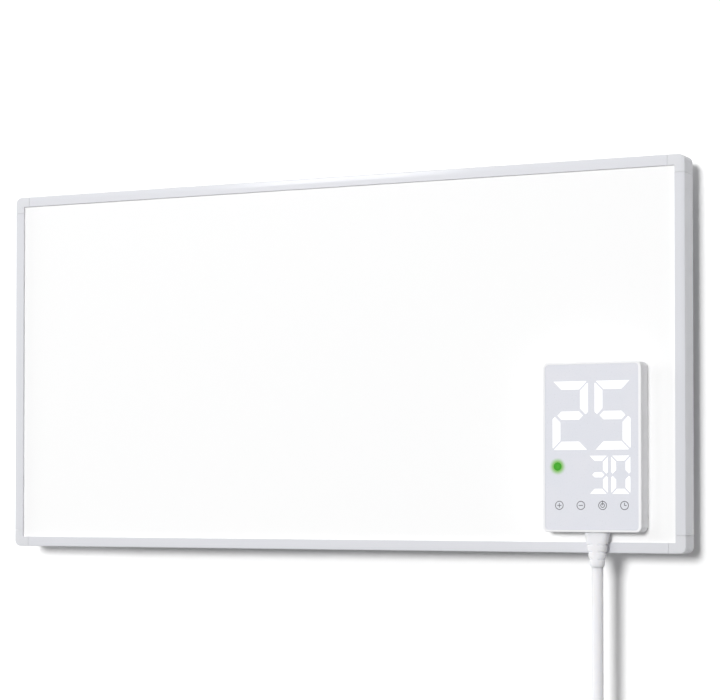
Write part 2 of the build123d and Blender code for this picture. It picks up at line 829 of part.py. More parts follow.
# ================================================================ the wall brackets
for side, x_side in (("left", -1), ("right", 1)):
    with BuildPart() as wall_bracket:
        with BuildSketch(off_wall(0, x_side * bracket_spacing / 2)):
            RectangleRounded(bracket_width, bracket_height, bracket_corner)
            with GridLocations(0, wall_hole_spacing, 1, 2):
                Circle(wall_hole_radius, mode=Mode.SUBTRACT)
            Circle(stud_neck_radius + close_play, mode=Mode.SUBTRACT)
        extrude(amount=bracket_thickness)
    save(wall_bracket.part, f"wall_bracket_{side}")

stud_shoulder = wall_gap + panel_depth - stud_seat + head_play  # from the wall to the head
with BuildPart() as wall_studs:
    for start, end, radius in (
        (stud_neck_recess, bracket_thickness, stud_neck_radius),
        (bracket_thickness, stud_shoulder, stud_radius),
        (stud_shoulder, stud_shoulder + stud_head_thickness, stud_head_radius),
    ):
        with BuildSketch(off_wall(start)):
            with GridLocations(bracket_spacing, 0, 2, 1):
                Circle(radius)
        extrude(amount=end - start)
    head_rims = wall_studs.edges().filter_by(GeomType.CIRCLE).group_by(Axis.Y)[0]
    chamfer(head_rims, length=stud_head_bevel)
save(wall_studs.part, "wall_studs")

# ================================================================ the control box: case
inner_width = control_width - 2 * case_wall
inner_height = control_height - 2 * case_wall
window_width = control_width - 2 * rim_side
window_height = control_height - 2 * rim_end
tongue_width = inner_width - 2 * case_clearance
tongue_height = inner_height - 2 * case_clearance
opening_width = window_width - 2 * ledge_width
boss_places = [
    (x_side * (control_width / 2 - boss_inset), z_side * (control_height / 2 - boss_inset))
    for x_side in (-1, 1)
    for z_side in (-1, 1)
]
mount_places = [(x - control_x, z - control_z) for x, z in control_mounts]
neck_place = (cord_from_control_centre, (case_wall - control_height) / 2)
boss_back = floor_front - boss_seat_height
relief_flange_width = neck_width + 2 * flange_overlap
clamp_foot = floor_front - clamp_boss_height  # depth at which the clamp's feet stand
clamp_z = clamp_from_bottom - control_height / 2
clamp_reach = clamp_outer + case_head_radius + clamp_screw_room
clamp_places = [(cord_from_control_centre + side * clamp_reach, clamp_z) for side in (-1, 1)]

with BuildPart() as control_front_shell:
    with BuildSketch(in_control(parting)):
        RectangleRounded(control_width, control_height, control_radius)
    extrude(amount=parting - control_front)
    front_rim = control_front_shell.faces().sort_by(Axis.Y)[0].edges()
    fillet(front_rim, radius=case_edge_radius)
    with BuildSketch(in_control(parting)):
        RectangleRounded(inner_width, inner_height, control_radius - case_wall)
    extrude(amount=parting - ledge_back, mode=Mode.SUBTRACT)
    with BuildSketch(in_control(face_back)):
        RectangleRounded(window_width, window_height, control_radius - rim_end)
    extrude(amount=case_wall, mode=Mode.SUBTRACT)
    with BuildSketch(in_control(ledge_back)):
        RectangleRounded(opening_width, window_height - 2 * ledge_width, inner_corner)
    extrude(amount=case_wall, mode=Mode.SUBTRACT)
    # Screw bosses, and stands at the sides that the circuit board lies on.
    with BuildSketch(in_control(boss_back)):
        with Locations(*boss_places):
            Circle(boss_radius)
    extrude(amount=boss_back - face_back)
    with BuildSketch(in_control(board_front)):
        with GridLocations(opening_width + stand_width, 2 * stand_spacing, 2, 2):
            Rectangle(stand_width, stand_length)
    extrude(amount=board_front - face_back)
    with BuildSketch(in_control(boss_back)):
        with Locations(*boss_places):
            Circle(case_screw_radius + close_play)
    extrude(amount=case_screw_length - boss_seat_floor, mode=Mode.SUBTRACT)
    with BuildSketch(in_control(parting)):
        with Locations(neck_place):
            Rectangle(neck_width, 2 * case_wall)
    extrude(amount=neck_depth / 2, mode=Mode.SUBTRACT)
save(control_front_shell.part, "control_front_shell")

with BuildPart() as control_rear_shell:
    with BuildSketch(in_control(control_back)):
        RectangleRounded(control_width, control_height, control_radius)
    extrude(amount=control_back - parting)
    with BuildSketch(in_control(floor_front)):
        RectangleRounded(inner_width, inner_height, control_radius - case_wall)
    extrude(amount=floor_front - parting, mode=Mode.SUBTRACT)
    # A tongue stands up inside the front shell and presses the circuit board against its stands.
    with BuildSketch(in_control(floor_front)):
        RectangleRounded(tongue_width, tongue_height, control_radius - case_wall)
        tongue_inside = (tongue_width - 2 * tongue_wall, tongue_height - 2 * tongue_wall)
        RectangleRounded(*tongue_inside, inner_corner, mode=Mode.SUBTRACT)
        with Locations(*boss_places):
            Circle(boss_radius + case_clearance, mode=Mode.SUBTRACT)
        with Locations(neck_place):
            flange_notch = 2 * (case_wall + case_clearance + flange_thickness + flange_overlap)
            Rectangle(relief_flange_width + 2 * case_clearance, flange_notch, mode=Mode.SUBTRACT)
    extrude(amount=floor_front - board_back)
    with BuildSketch(in_control(floor_front)):
        with Locations(*boss_places):
            Circle(boss_radius)
    extrude(amount=boss_seat_height - case_clearance)
    with BuildSketch(in_control(floor_front)):
        with Locations(*mount_places):
            Circle(boss_radius)
    extrude(amount=mount_boss_height)
    with BuildSketch(in_control(floor_front)):
        with Locations(*clamp_places):
            Circle(clamp_boss_radius)
    extrude(amount=clamp_boss_height)
    with BuildSketch(in_control(floor_front)):
        with Locations((cord_from_control_centre, clamp_z)):
            Rectangle(saddle_width, clamp_length)
    extrude(amount=saddle_height - case_clearance)
    # Holes: countersunk case screws, threaded mounting bosses, the grommet and the cord's neck.
    with BuildSketch(in_control(control_back)):
        with Locations(*boss_places):
            Circle(case_head_radius + screw_hole_play)
    extrude(amount=case_head_sink, mode=Mode.SUBTRACT)
    with BuildSketch(in_control(control_back)):
        with Locations(*boss_places):
            Circle(case_screw_radius + screw_hole_play)
        with Locations(*mount_places):
            Circle(mount_screw_radius + close_play)
        with Locations((0, -grommet_drop)):
            SlotOverall(grommet_length, grommet_height)
    extrude(amount=control_back - floor_front + mount_boss_height, mode=Mode.SUBTRACT)
    with BuildSketch(in_control(clamp_foot)):
        with Locations(*clamp_places):
            Circle(case_screw_radius + close_play)
    extrude(amount=-clamp_screw_bite, mode=Mode.SUBTRACT)
    with BuildSketch(in_control(parting + neck_depth / 2)):
        with Locations(neck_place):
            Rectangle(neck_width, 2 * case_wall)
    extrude(amount=neck_depth / 2, mode=Mode.SUBTRACT)
save(control_rear_shell.part, "control_rear_shell")

with BuildPart() as mounting_pad:
    with BuildSketch(in_control(plate_front)):
        RectangleRounded(control_width - 2 * pad_inset, control_height - 2 * pad_inset, control_radius)
        with Locations(*mount_places):
            Circle(mount_screw_radius + wide_hole_play, mode=Mode.SUBTRACT)
        with Locations((0, -grommet_drop)):
            SlotOverall(grommet_length, grommet_height, mode=Mode.SUBTRACT)
    extrude(amount=pad_thickness)
save(mounting_pad.part, "mounting_pad")

case_screw_seat = control_back - case_head_sink
save(
    pan_screws(
        in_control(case_screw_seat),
        boss_places,
        case_screw_radius,
        case_screw_length,
        case_head_radius,
        case_head_height,
        side=-1,
    ),
    "control_case_screws",
)
save(
    pan_screws(
        in_control(plate_back),
        mount_places,
        mount_screw_radius,
        plate_back - floor_front + mount_boss_height - case_clearance,
        mount_head_radius,
        mount_head_height,
        side=-1,
    ),
    "control_mounting_screws",
)


# ================================================================ the control box: lit face
def turned(corners, x_side, z_side):
    return [(x_side * x, z_side * z) for x, z in corners]


def segments(width, height, stroke, lit):
    """Seven-segment strokes with mitred ends, as corner lists from the digit's centre."""
    side, end = width / 2, height / 2
    inner_side, inner_end = side - stroke, end - stroke
    half, gap = stroke / 2, segment_gap / sqrt(2)
    tip = upright_tip_share * stroke
    level = (
        (side - gap, end),
        (inner_side - gap, inner_end),
        (gap - inner_side, inner_end),
        (gap - side, end),
    )
    upright = (
        (side, end - gap),
        (side, tip + gap),
        (side - tip, gap),
        (inner_side, stroke - tip + gap),
        (inner_side, inner_end - gap),
    )
    bar = ((side - half - gap, 0), (inner_side - gap, half), (gap - inner_side, half))
    shapes = {
        "top": level,
        "bottom": turned(level, 1, -1),
        "middle": (*bar, *turned(bar, -1, -1)),
        "top_right": upright,
        "top_left": turned(upright, -1, 1),
        "bottom_right": turned(upright, 1, -1),
        "bottom_left": turned(upright, -1, -1),
    }
    return [shapes[name] for name in lit]


LIT = {
    "2": ("top", "top_right", "middle", "bottom_left", "bottom"),
    "5": ("top", "top_left", "middle", "bottom_right", "bottom"),
    "3": ("top", "top_right", "middle", "bottom_right", "bottom"),
    "0": ("top", "top_right", "top_left", "bottom_right", "bottom_left", "bottom"),
}
face_top = control_height / 2
big_z = face_top - digits_from_top - digit_height / 2
small_z = face_top - small_digits_from_top - small_digit_height / 2
big_size = (digit_width, digit_height, digit_stroke)
small_size = (small_digit_width, small_digit_height, small_digit_stroke)
big_digits = [
    ("2", -digit_pitch / 2, big_z, big_size),
    ("5", digit_pitch / 2, big_z, big_size),
]
small_digits = [
    ("3", small_digits_x - small_digit_pitch / 2, small_z, small_size),
    ("0", small_digits_x + small_digit_pitch / 2, small_z, small_size),
]
lamp_place = (lamp_x, face_top - lamp_from_top)
key_places = [(keys_x + (key - 1.5) * key_pitch, keys_from_bottom - face_top) for key in range(4)]


def draw_digits(digits):
    for figure, x, z, (width, height, stroke) in digits:
        with Locations((x, z)):
            for outline in segments(width, height, stroke, LIT[figure]):
                Polygon(*outline, align=None)
        for z_side, level in ((1, "top"), (-1, "bottom")):
            for x_side, hand in ((-1, "left"), (1, "right")):
                if {level, f"{level}_{hand}"} <= set(LIT[figure]):
                    with Locations((x + x_side * width / 2, z + z_side * height / 2)):
                        cut = corner_cut_share * stroke * sqrt(2)
                        Rectangle(cut, cut, rotation=45, mode=Mode.SUBTRACT)


def draw_keys():
    """Plus, minus, power and timer signs, each in a thin ring."""
    for number, place in enumerate(key_places):
        with Locations(place):
            Circle(key_radius)
            Circle(key_radius - key_line, mode=Mode.SUBTRACT)
            if number < 2:
                Rectangle(key_radius, key_line)
            if number == 0:
                Rectangle(key_line, key_radius)
            if number == 2:
                Circle(key_ring_share * key_radius)
                Circle(key_ring_share * key_radius - key_line, mode=Mode.SUBTRACT)
                Rectangle(key_line, key_stem_share * key_radius, align=(Align.CENTER, Align.MIN))
            if number == 3:
                Rectangle(key_line, key_hand_share * key_radius, align=(Align.CENTER, Align.MIN))
                Rectangle(key_short_hand_share * key_radius, key_line, align=(Align.MIN, Align.CENTER))


with BuildPart() as control_face:
    with BuildSketch(in_control(face_back)):
        face_play = 2 * close_play
        face_size = (window_width - face_play, window_height - face_play)
        RectangleRounded(*face_size, control_radius - rim_end - close_play)
        with Locations(lamp_place):
            Circle(lamp_radius, mode=Mode.SUBTRACT)
    extrude(amount=face_thickness)
    with BuildSketch(in_control(face_front + inlay_depth)):
        draw_digits(big_digits + small_digits)
    extrude(amount=inlay_depth, mode=Mode.SUBTRACT)
    with BuildSketch(in_control(face_front + inlay_depth)):
        draw_keys()
    extrude(amount=inlay_depth, mode=Mode.SUBTRACT)
save(control_face.part, "control_face")

for name, digits in (("temperature_digits", big_digits), ("timer_digits", small_digits)):
    with BuildPart() as lit_digits:
        with BuildSketch(in_control(face_front + inlay_depth)):
            draw_digits(digits)
        extrude(amount=inlay_depth)
    save(lit_digits.part, name)

with BuildPart() as key_legends:
    with BuildSketch(in_control(face_front + inlay_depth)):
        draw_keys()
    extrude(amount=inlay_depth)
save(key_legends.part, "key_legends")

with BuildPart() as power_lamp:
    with BuildSketch(in_control(face_back)):
        with Locations(lamp_place):
            Circle(lamp_radius - close_play)
    extrude(amount=face_thickness)
save(power_lamp.part, "power_lamp")

# ================================================================ the control box: electronics
display_bottom = key_places[0][1] + touch_pad_radius + case_clearance
display_top = control_height / 2 - display_from_top
with BuildPart() as display_module:
    with BuildSketch(in_control(board_front)):
        with Locations((0, (display_bottom + display_top) / 2)):
            Rectangle(display_width, display_top - display_bottom)
    extrude(amount=display_thickness)
save(display_module.part, "display_module")

with BuildPart() as touch_pads:
    with BuildSketch(in_control(board_front)):
        with Locations(*key_places):
            Circle(touch_pad_radius)
    extrude(amount=display_thickness)
save(touch_pads.part, "touch_pads")

board_width = inner_width - 2 * board_play
board_top = inner_height / 2 - board_play
board_bottom = -control_height / 2 + board_from_bottom
with BuildPart() as circuit_board:
    with BuildSketch(in_control(board_back)):
        with Locations((0, (board_bottom + board_top) / 2)):
            Rectangle(board_width, board_top - board_bottom)
        with Locations(*boss_places):
            notch = 2 * (boss_radius + board_play)
            Rectangle(notch, notch, mode=Mode.SUBTRACT)
    extrude(amount=board_thickness)
save(circuit_board.part, "circuit_board")

with BuildPart() as power_relay:
    with BuildSketch(in_control(board_back + terminal_rise)):
        with Locations((-component_x, component_z)):
            RectangleRounded(relay_length, relay_width, relay_corner)
    extrude(amount=terminal_rise)
save(power_relay.part, "power_relay")

with BuildPart() as dropper_capacitor:
    with BuildSketch(in_control(board_back + terminal_rise)):
        with Locations((component_x, component_z)):
            RectangleRounded(capacitor_length, capacitor_width, capacitor_corner)
    extrude(amount=terminal_rise)
    rear_edges = dropper_capacitor.faces().sort_by(Axis.Y)[-1].edges()
    chamfer(rear_edges, length=capacitor_bevel)
save(dropper_capacitor.part, "dropper_capacitor")

# A glass tube fuse lying on the board, caps included.
fuse_axis = in_control(board_back + fuse_radius)
fuse_steps = (  # start and end from the fuse's middle, and radius
    (-fuse_length / 2, fuse_length / 2, fuse_glass_radius),
    (-fuse_length / 2, fuse_cap - fuse_length / 2, fuse_radius),
    (fuse_length / 2 - fuse_cap, fuse_length / 2, fuse_radius),
)
with BuildPart() as fuse:
    for start, end, radius in fuse_steps:
        tube_start = fuse_axis.from_local_coords((start, fuse_z, 0))
        with BuildSketch(Plane(origin=tube_start, x_dir=(0, 0, 1), z_dir=(1, 0, 0))):
            Circle(radius)
        extrude(amount=end - start)
save(fuse.part, "fuse")

# The terminal block: wire mouths for the supply below, and for the panel's wires above.
with BuildPart() as terminal_block:
    with BuildSketch(in_control(board_back + terminal_rise)):
        with Locations((0, -terminal_drop)):
            Rectangle(3 * wire_pitch + wire_diameter + 2 * terminal_side, terminal_height)
            with GridLocations(wire_pitch, 0, 4, 1):
                Circle(terminal_mouth, mode=Mode.SUBTRACT)
    extrude(amount=terminal_rise)
save(terminal_block.part, "terminal_block")

# ================================================================ the cord's way into the box
def across_cord(height):
    """A level plane at a height from the case's bottom, centred on the cord: X right, Y to the wall."""
    return Plane(origin=inside(cord_x, parting, case_bottom + height))


relief_top_width = cord_diameter + 2 * relief_top_side
relief_top_depth = cord_diameter + 2 * relief_top_wall
relief_tip_width = cord_diameter + 2 * relief_tip_wall


with BuildPart() as strain_relief:
    with BuildSketch(across_cord(0)):
        RectangleRounded(relief_top_width, relief_top_depth, relief_round)
    with BuildSketch(across_cord(-relief_length)):
        tip_round = relief_tip_round_share * relief_tip_width
        RectangleRounded(relief_tip_width, relief_tip_width, tip_round)
    loft(ruled=True)
    # Grooves let the boot bend. A flat spine down its middle bridges them, front and back.
    for groove in range(relief_grooves):
        drop = groove_first + groove * groove_pitch
        taper = drop / relief_length
        width = relief_top_width + taper * (relief_tip_width - relief_top_width)
        depth = relief_top_depth + taper * (relief_tip_width - relief_top_depth)
        with BuildSketch(across_cord(-drop)):
            Rectangle(2 * relief_top_width, 2 * relief_top_width)
            core = (width - 2 * groove_depth, depth - 2 * groove_depth)
            core_round = min(relief_round, relief_core_round_share * core[1])
            RectangleRounded(*core, core_round, mode=Mode.SUBTRACT)
            Rectangle(spine_width, 2 * relief_top_width, mode=Mode.SUBTRACT)
        extrude(amount=-groove_width, mode=Mode.SUBTRACT)
    with BuildSketch(across_cord(0)):
        Rectangle(neck_width - 2 * case_clearance, neck_depth - 2 * case_clearance)
    extrude(amount=case_wall + case_clearance)
    with BuildSketch(across_cord(case_wall + case_clearance)):
        Rectangle(relief_flange_width, neck_depth + 2 * flange_lap)
    extrude(amount=flange_thickness)
save(strain_relief.part, "strain_relief")

# Inside the box the cord's sheath ends under the clamp, and its three cores go to the terminals.
sheath_start = case_wall + case_clearance + flange_thickness
with BuildPart() as sheath_end:
    with BuildSketch(across_cord(sheath_start)):
        Circle(cord_diameter / 2)
    extrude(amount=sheath_top - sheath_start)
core_bottom = case_bottom + sheath_top
core_top = control_z - terminal_drop - terminal_height / 2
supply_cores = []
for offset, pole in zip((-core_spread, 0.0, core_spread), (0, 1, 3)):
    core_route = [
        inside(cord_x + offset, terminal_depth, core_bottom),
        inside(cord_x + offset, terminal_depth, core_bottom + core_straight),
        inside(pole_x[pole], terminal_depth, core_top - core_straight),
        inside(pole_x[pole], terminal_depth, core_top),
    ]
    supply_cores.append(wire(core_route, [wire_bend, wire_bend], core_diameter))
save(Compound(children=[sheath_end.part, *supply_cores]), "cord_inner_end")

clamp_plane = Plane(origin=inside(cord_x, 0, control_z + clamp_z - clamp_length / 2))
with BuildPart() as cord_clamp:
    with BuildSketch(clamp_plane):
        with Locations((0, parting)):
            Circle(clamp_outer)
        with Locations((0, clamp_foot)):
            foot_size = (2 * (clamp_reach + clamp_boss_radius), clamp_foot_thickness)
            Rectangle(*foot_size, align=(Align.CENTER, Align.MAX))
            behind = (4 * clamp_reach, 4 * clamp_reach)
            Rectangle(*behind, align=(Align.CENTER, Align.MIN), mode=Mode.SUBTRACT)
        with Locations((0, parting)):
            Circle(cord_diameter / 2 + close_play, mode=Mode.SUBTRACT)
    extrude(amount=clamp_length)
    with BuildSketch(in_control(clamp_foot)):
        with Locations(*clamp_places):
            Circle(case_screw_radius + screw_hole_play)
    extrude(amount=clamp_foot_thickness, mode=Mode.SUBTRACT)
save(cord_clamp.part, "cord_clamp")
save(
    pan_screws(
        in_control(clamp_foot - clamp_foot_thickness),
        clamp_places,
        case_screw_radius,
        clamp_foot_thickness + clamp_screw_bite - case_clearance,
        case_head_radius,
        case_head_height,
    ),
    "clamp_screws",
)

# ================================================================ the free cord
# It hangs straight down, and what a buyer doesn't need is wound into a tied coil of two layers.
# The coil spirals in on the front layer, climbs to the layer nearer the wall where it turns round,
# and spirals out again.
cord_exit = inside(cord_x, parting, case_bottom - relief_length)
coil_centre = cord_exit + Vector(-coil_left_of_cord, 0, -coil_below_cord)
coil_pitch = cord_diameter + turn_gap
outward_lean = degrees(atan(coil_pitch / (2 * pi * coil_outer)))
coil_turns = coil_whole_turns + (90 + outward_lean - coil_start_angle) / 360
middle_turn = coil_turns / 2
coil_inner = coil_outer - coil_pitch * middle_turn


def coil_point(turn):
    radius = coil_inner + coil_pitch * abs(turn - middle_turn)
    angle = radians(coil_start_angle + 360 * turn)
    climbed = min(max((turn - middle_turn) / coil_climb_turns + 0.5, 0), 1)
    layer = coil_pitch * (1 - cos(pi * climbed)) / 2
    return coil_centre + Vector(radius * sin(angle), layer, radius * cos(angle))


def coil_heading(turn):
    step = 1e-4
    return (coil_point(turn + step) - coil_point(turn - step)).normalized()


def biarc(start, start_heading, end, end_heading):
    """The joint of two arcs from start to end that keep both headings, and the heading there."""
    chord = end - start
    sum_headings = start_heading + end_heading
    spread = 2 * (1 - start_heading.dot(end_heading))
    along = chord.dot(sum_headings)
    reach = (-along + sqrt(along**2 + spread * chord.dot(chord))) / spread
    first, second = start + start_heading * reach, end - end_heading * reach
    return (first + second) / 2, (second - first).normalized()


quarters = 4 * coil_whole_turns
coil_ends = [(coil_point(turn), coil_heading(turn)) for turn in (0, coil_turns)]
with BuildPart() as cord_coil:
    with BuildLine() as coil_route:
        (first, first_heading), (last, last_heading) = coil_ends
        Line(first - first_heading * cord_diameter, first)
        for quarter in range(quarters):
            turns = (coil_turns * quarter / quarters, coil_turns * (quarter + 1) / quarters)
            (start, start_heading), (end, end_heading) = [(coil_point(t), coil_heading(t)) for t in turns]
            joint, joint_heading = biarc(start, start_heading, end, end_heading)
            TangentArc(start, joint, tangent=start_heading)
            TangentArc(joint, end, tangent=joint_heading)
        Line(last, last + last_heading * cord_diameter)
    coil_path = coil_route.wires()[0]
    with BuildSketch(Plane(origin=coil_path @ 0, z_dir=coil_path % 0)):
        Circle(cord_diameter / 2)
    sweep(path=coil_path)
save(cord_coil.part, "cord_coil")

# The least gap between turns, measured on points of the route more than half a turn apart.
samples = [coil_point(coil_turns * n / coil_samples) for n in range(coil_samples + 1)]
half_turn = round(coil_samples / (2 * coil_turns))
least = min(
    (near - far).length for n, near in enumerate(samples) for far in samples[n + half_turn :]
)
coil_volume = pi * cord_diameter**2 / 4 * coil_path.length
print("least gap between turns", round(least - cord_diameter, 2), "mm")
print("coil length", round(coil_path.length), "volume ratio", cord_coil.part.volume / coil_volume)

# The drop: straight down from the boot, then one bend onto the coil.
drop_end = coil_ends[0][0] - coil_ends[0][1] * cord_diameter
drop_run = (drop_end.X - cord_exit.X) / coil_ends[0][1].X
drop_corner = drop_end - coil_ends[0][1] * drop_run
drop_turn = coil_ends[0][1].get_angle(Vector(0, 0, -1))
drop_bend = drop_bend_share * drop_run / tan(radians(drop_turn / 2))
drop_route = [cord_exit, drop_corner, drop_end]
cord_drop = wire(drop_route, [drop_bend], cord_diameter)
save(cord_drop, "cord_drop")
print("drop route", [tuple(round(c, 2) for c in point) for point in drop_route])
print("drop bend radius", round(drop_bend, 1), "turn", round(drop_turn, 1), "run", round(drop_run, 1))

# The tail hangs straight down from the coil's last turn to the plug.
tail_start = coil_ends[1][0] + coil_ends[1][1] * cord_diameter
tail_end = tail_start + Vector(0, 0, -tail_length)
with BuildPart() as cord_tail:
    with BuildSketch(Plane(origin=tail_start, z_dir=(0, 0, -1))):
        Circle(cord_diameter / 2)
    extrude(amount=tail_length)
save(cord_tail.part, "cord_tail")
drop_length = cord_drop.volume / (pi * cord_diameter**2 / 4)
print("free cord length", round(drop_length + coil_path.length + tail_length), "mm")

# A strap round all the turns, a little past the place where the drop joins them.
tie_turns = (tie_angle - coil_start_angle) / 360
bundle_rows = [coil_point(turn + tie_turns) - coil_centre for turn in range(coil_whole_turns + 1)]
bundle_radii = [hypot(row.X, row.Z) for row in bundle_rows]
bundle_middle = (min(bundle_radii) + max(bundle_radii)) / 2
bundle_size = (max(bundle_radii) - min(bundle_radii) + cord_diameter, coil_pitch + cord_diameter)
tie_out = Vector(sin(radians(tie_angle)), 0, cos(radians(tie_angle)))
tie_plane = Plane(
    origin=coil_centre + tie_out * bundle_middle + Vector(0, coil_pitch / 2, 0),
    x_dir=tie_out,
    z_dir=tie_out.cross(Vector(0, 1, 0)),
)
with BuildPart() as cord_tie:
    with BuildSketch(tie_plane):
        inner_size = [size + 2 * tie_slack for size in bundle_size]
        outer_size = [size + 2 * tie_thickness for size in inner_size]
        RectangleRounded(*outer_size, cord_diameter / 2 + tie_slack + tie_thickness)
        RectangleRounded(*inner_size, cord_diameter / 2 + tie_slack, mode=Mode.SUBTRACT)
    extrude(amount=tie_width / 2, both=True)
save(cord_tie.part, "cord_tie")

# ================================================================ the plug
plug_face = plug_boot_length + plug_length
plug_side = Plane(origin=tail_end, x_dir=(1, 0, 0), z_dir=(0, -1, 0))
plug_front = tail_end - Vector(0, 0, plug_face)
into_plug = Plane(origin=plug_front, z_dir=(0, 0, 1))
with BuildPart() as plug_body:
    with BuildSketch(plug_side):
        with BuildLine():
            Polyline(
                (0, 0),
                (cord_diameter / 2 + plug_boot_tip_wall, 0),
                (plug_boot_root, -plug_boot_length),
                (plug_grip, -plug_boot_length),
                (plug_grip, -plug_boot_length - plug_grip_length),
                (plug_radius, -plug_face + plug_rim_length),
                (plug_radius, -plug_face),
                (0, -plug_face),
                close=True,
            )
        make_face()
    revolve(axis=Axis(tail_end, (0, 0, 1)))
    rings = plug_body.edges().filter_by(GeomType.CIRCLE)
    shoulders = [ring for level in rings.group_by(Axis.Z)[1:] for ring in level]
    fillet([ring for ring in shoulders if ring.radius > plug_boot_root + close_play], radius=plug_round)
    with BuildSketch(into_plug):
        for side in (-1, 1):
            with Locations((0, side * plug_radius)):
                Rectangle(clip_groove_width, 2 * clip_groove_depth)
    extrude(amount=clip_groove_length, mode=Mode.SUBTRACT)
    with BuildSketch(into_plug):
        with GridLocations(plug_pin_spacing, 0, 2, 1):
            Circle(pin_root_radius + close_play)
    extrude(amount=pin_root_length, mode=Mode.SUBTRACT)
save(plug_body.part, "plug_body")

with BuildPart() as plug_pins:
    with BuildSketch(Plane(origin=plug_front, z_dir=(0, 0, -1))):
        with GridLocations(plug_pin_spacing, 0, 2, 1):
            Circle(plug_pin_radius)
    extrude(amount=plug_pin_length)
    pin_tips = plug_pins.edges().filter_by(GeomType.CIRCLE).group_by(Axis.Z)[0]
    fillet(pin_tips, radius=pin_tip_round)
    with BuildSketch(into_plug):
        with GridLocations(plug_pin_spacing, 0, 2, 1):
            Circle(pin_root_radius)
    extrude(amount=pin_root_length - close_play)
save(plug_pins.part, "plug_pins")

# Two earth contacts of brass strip lie in the grooves at the plug's sides.
with BuildPart() as plug_earth_clips:
    with BuildSketch(into_plug.offset(clip_end_play)):
        for side in (-1, 1):
            with Locations((0, side * (plug_radius - clip_groove_depth + clip_thickness / 2))):
                Rectangle(clip_width, clip_thickness)
    extrude(amount=clip_groove_length - 2 * clip_end_play)
save(plug_earth_clips.part, "plug_earth_clips")
print("plug pins start at", tuple(round(c, 4) for c in plug_front))
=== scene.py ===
import bmesh
import bpy
from math import atan, cos, degrees, pi, radians, sin
from mathutils import Matrix, Vector


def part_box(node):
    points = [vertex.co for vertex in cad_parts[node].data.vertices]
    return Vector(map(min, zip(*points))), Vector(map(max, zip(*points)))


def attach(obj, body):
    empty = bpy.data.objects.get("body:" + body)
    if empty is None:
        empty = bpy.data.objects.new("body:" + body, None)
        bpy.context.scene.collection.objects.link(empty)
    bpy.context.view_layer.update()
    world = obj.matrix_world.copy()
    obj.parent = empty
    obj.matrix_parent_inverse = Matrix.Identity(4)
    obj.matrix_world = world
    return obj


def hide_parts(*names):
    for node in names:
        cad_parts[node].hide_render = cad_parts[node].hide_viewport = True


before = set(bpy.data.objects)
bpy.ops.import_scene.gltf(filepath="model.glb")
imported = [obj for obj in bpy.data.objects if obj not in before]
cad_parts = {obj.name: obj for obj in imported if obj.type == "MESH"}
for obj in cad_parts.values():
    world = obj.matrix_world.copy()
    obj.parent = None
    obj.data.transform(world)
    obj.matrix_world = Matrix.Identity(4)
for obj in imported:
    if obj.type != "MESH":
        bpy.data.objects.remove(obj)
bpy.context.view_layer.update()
mm = 0.001

# ======== the frame bars
# Four bars of extruded 6063 aluminium, matt anodised. The milky anodic film scatters much of the
# light, in a cool, pale silver grey, and the die has left fine lines along each bar.


def linear(code):
    """The linear colour of an sRGB hex code."""
    shares = [int(code[at : at + 2], 16) / 255 for at in (1, 3, 5)]
    return (*[s / 12.92 if s <= 0.04045 else ((s + 0.055) / 1.055) ** 2.4 for s in shares], 1.0)


def add(tree, kind, inputs=(), **settings):
    """A new node with its settings. An input takes a value, a socket or a node's first output."""
    made = tree.nodes.new(kind)
    for name, value in settings.items():
        setattr(made, name, value)
    for name, value in dict(inputs).items():
        if isinstance(value, bpy.types.Node):
            value = value.outputs[0]
        if isinstance(value, bpy.types.NodeSocket):
            tree.links.new(value, made.inputs[name])
        else:
            made.inputs[name].default_value = value
    return made


def surface(name, code, roughness, grain, relief=0.0, spread=0.04, stretch=(1, 1, 1), **values):
    """A Principled surface whose grain, in mm, gives it relief, in mm, and an uneven gloss."""
    material = bpy.data.materials.new(name)
    material.use_nodes = True
    tree = material.node_tree
    shader = tree.nodes["Principled BSDF"]
    shader.inputs["Base Color"].default_value = linear(code)
    for socket, value in values.items():
        shader.inputs[socket.replace("_", " ")].default_value = value
    place = add(tree, "ShaderNodeTexCoord", name="Place")
    along = add(tree, "ShaderNodeMapping", {"Vector": place.outputs["Object"], "Scale": stretch})
    grained = {"Vector": along, "Scale": 1 / (grain * mm), "Detail": 3.0, "Roughness": 0.55}
    noise = add(tree, "ShaderNodeTexNoise", grained, name="Grain")
    gloss = {"To Min": max(roughness - spread, 0.02), "To Max": min(roughness + spread, 1.0)}
    gloss = {"Value": noise, "From Min": 0.3, "From Max": 0.7, **gloss}  # where most of the noise is
    uneven = add(tree, "ShaderNodeMapRange", gloss)
    tree.links.new(uneven.outputs["Result"], shader.inputs["Roughness"])
    if relief:
        bump = add(tree, "ShaderNodeBump", {"Height": noise, "Distance": relief * mm})
        tree.links.new(bump.outputs["Normal"], shader.inputs["Normal"])
    return material


def dress(material, *nodes):
    """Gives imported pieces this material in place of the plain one."""
    for name in nodes:
        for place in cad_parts[name].material_slots:
            place.material = material


die_line = 0.35
drawn_out = 0.012  # the grain's scale along the bar, as a share of its scale across
anodised = {"code": "#DADBE0", "roughness": 0.42, "grain": die_line, "relief": 0.006}
anodised.update(Metallic=0.2, Specular_IOR_Level=0.2, Coat_Weight=0.6, Coat_Roughness=0.1)
level_bar = surface("anodised_aluminium_level", stretch=(drawn_out, 1, 1), **anodised)
upright_bar = surface("anodised_aluminium_upright", stretch=(1, 1, drawn_out), **anodised)
dress(level_bar, "frame_top", "frame_bottom")
dress(upright_bar, "frame_left", "frame_right")

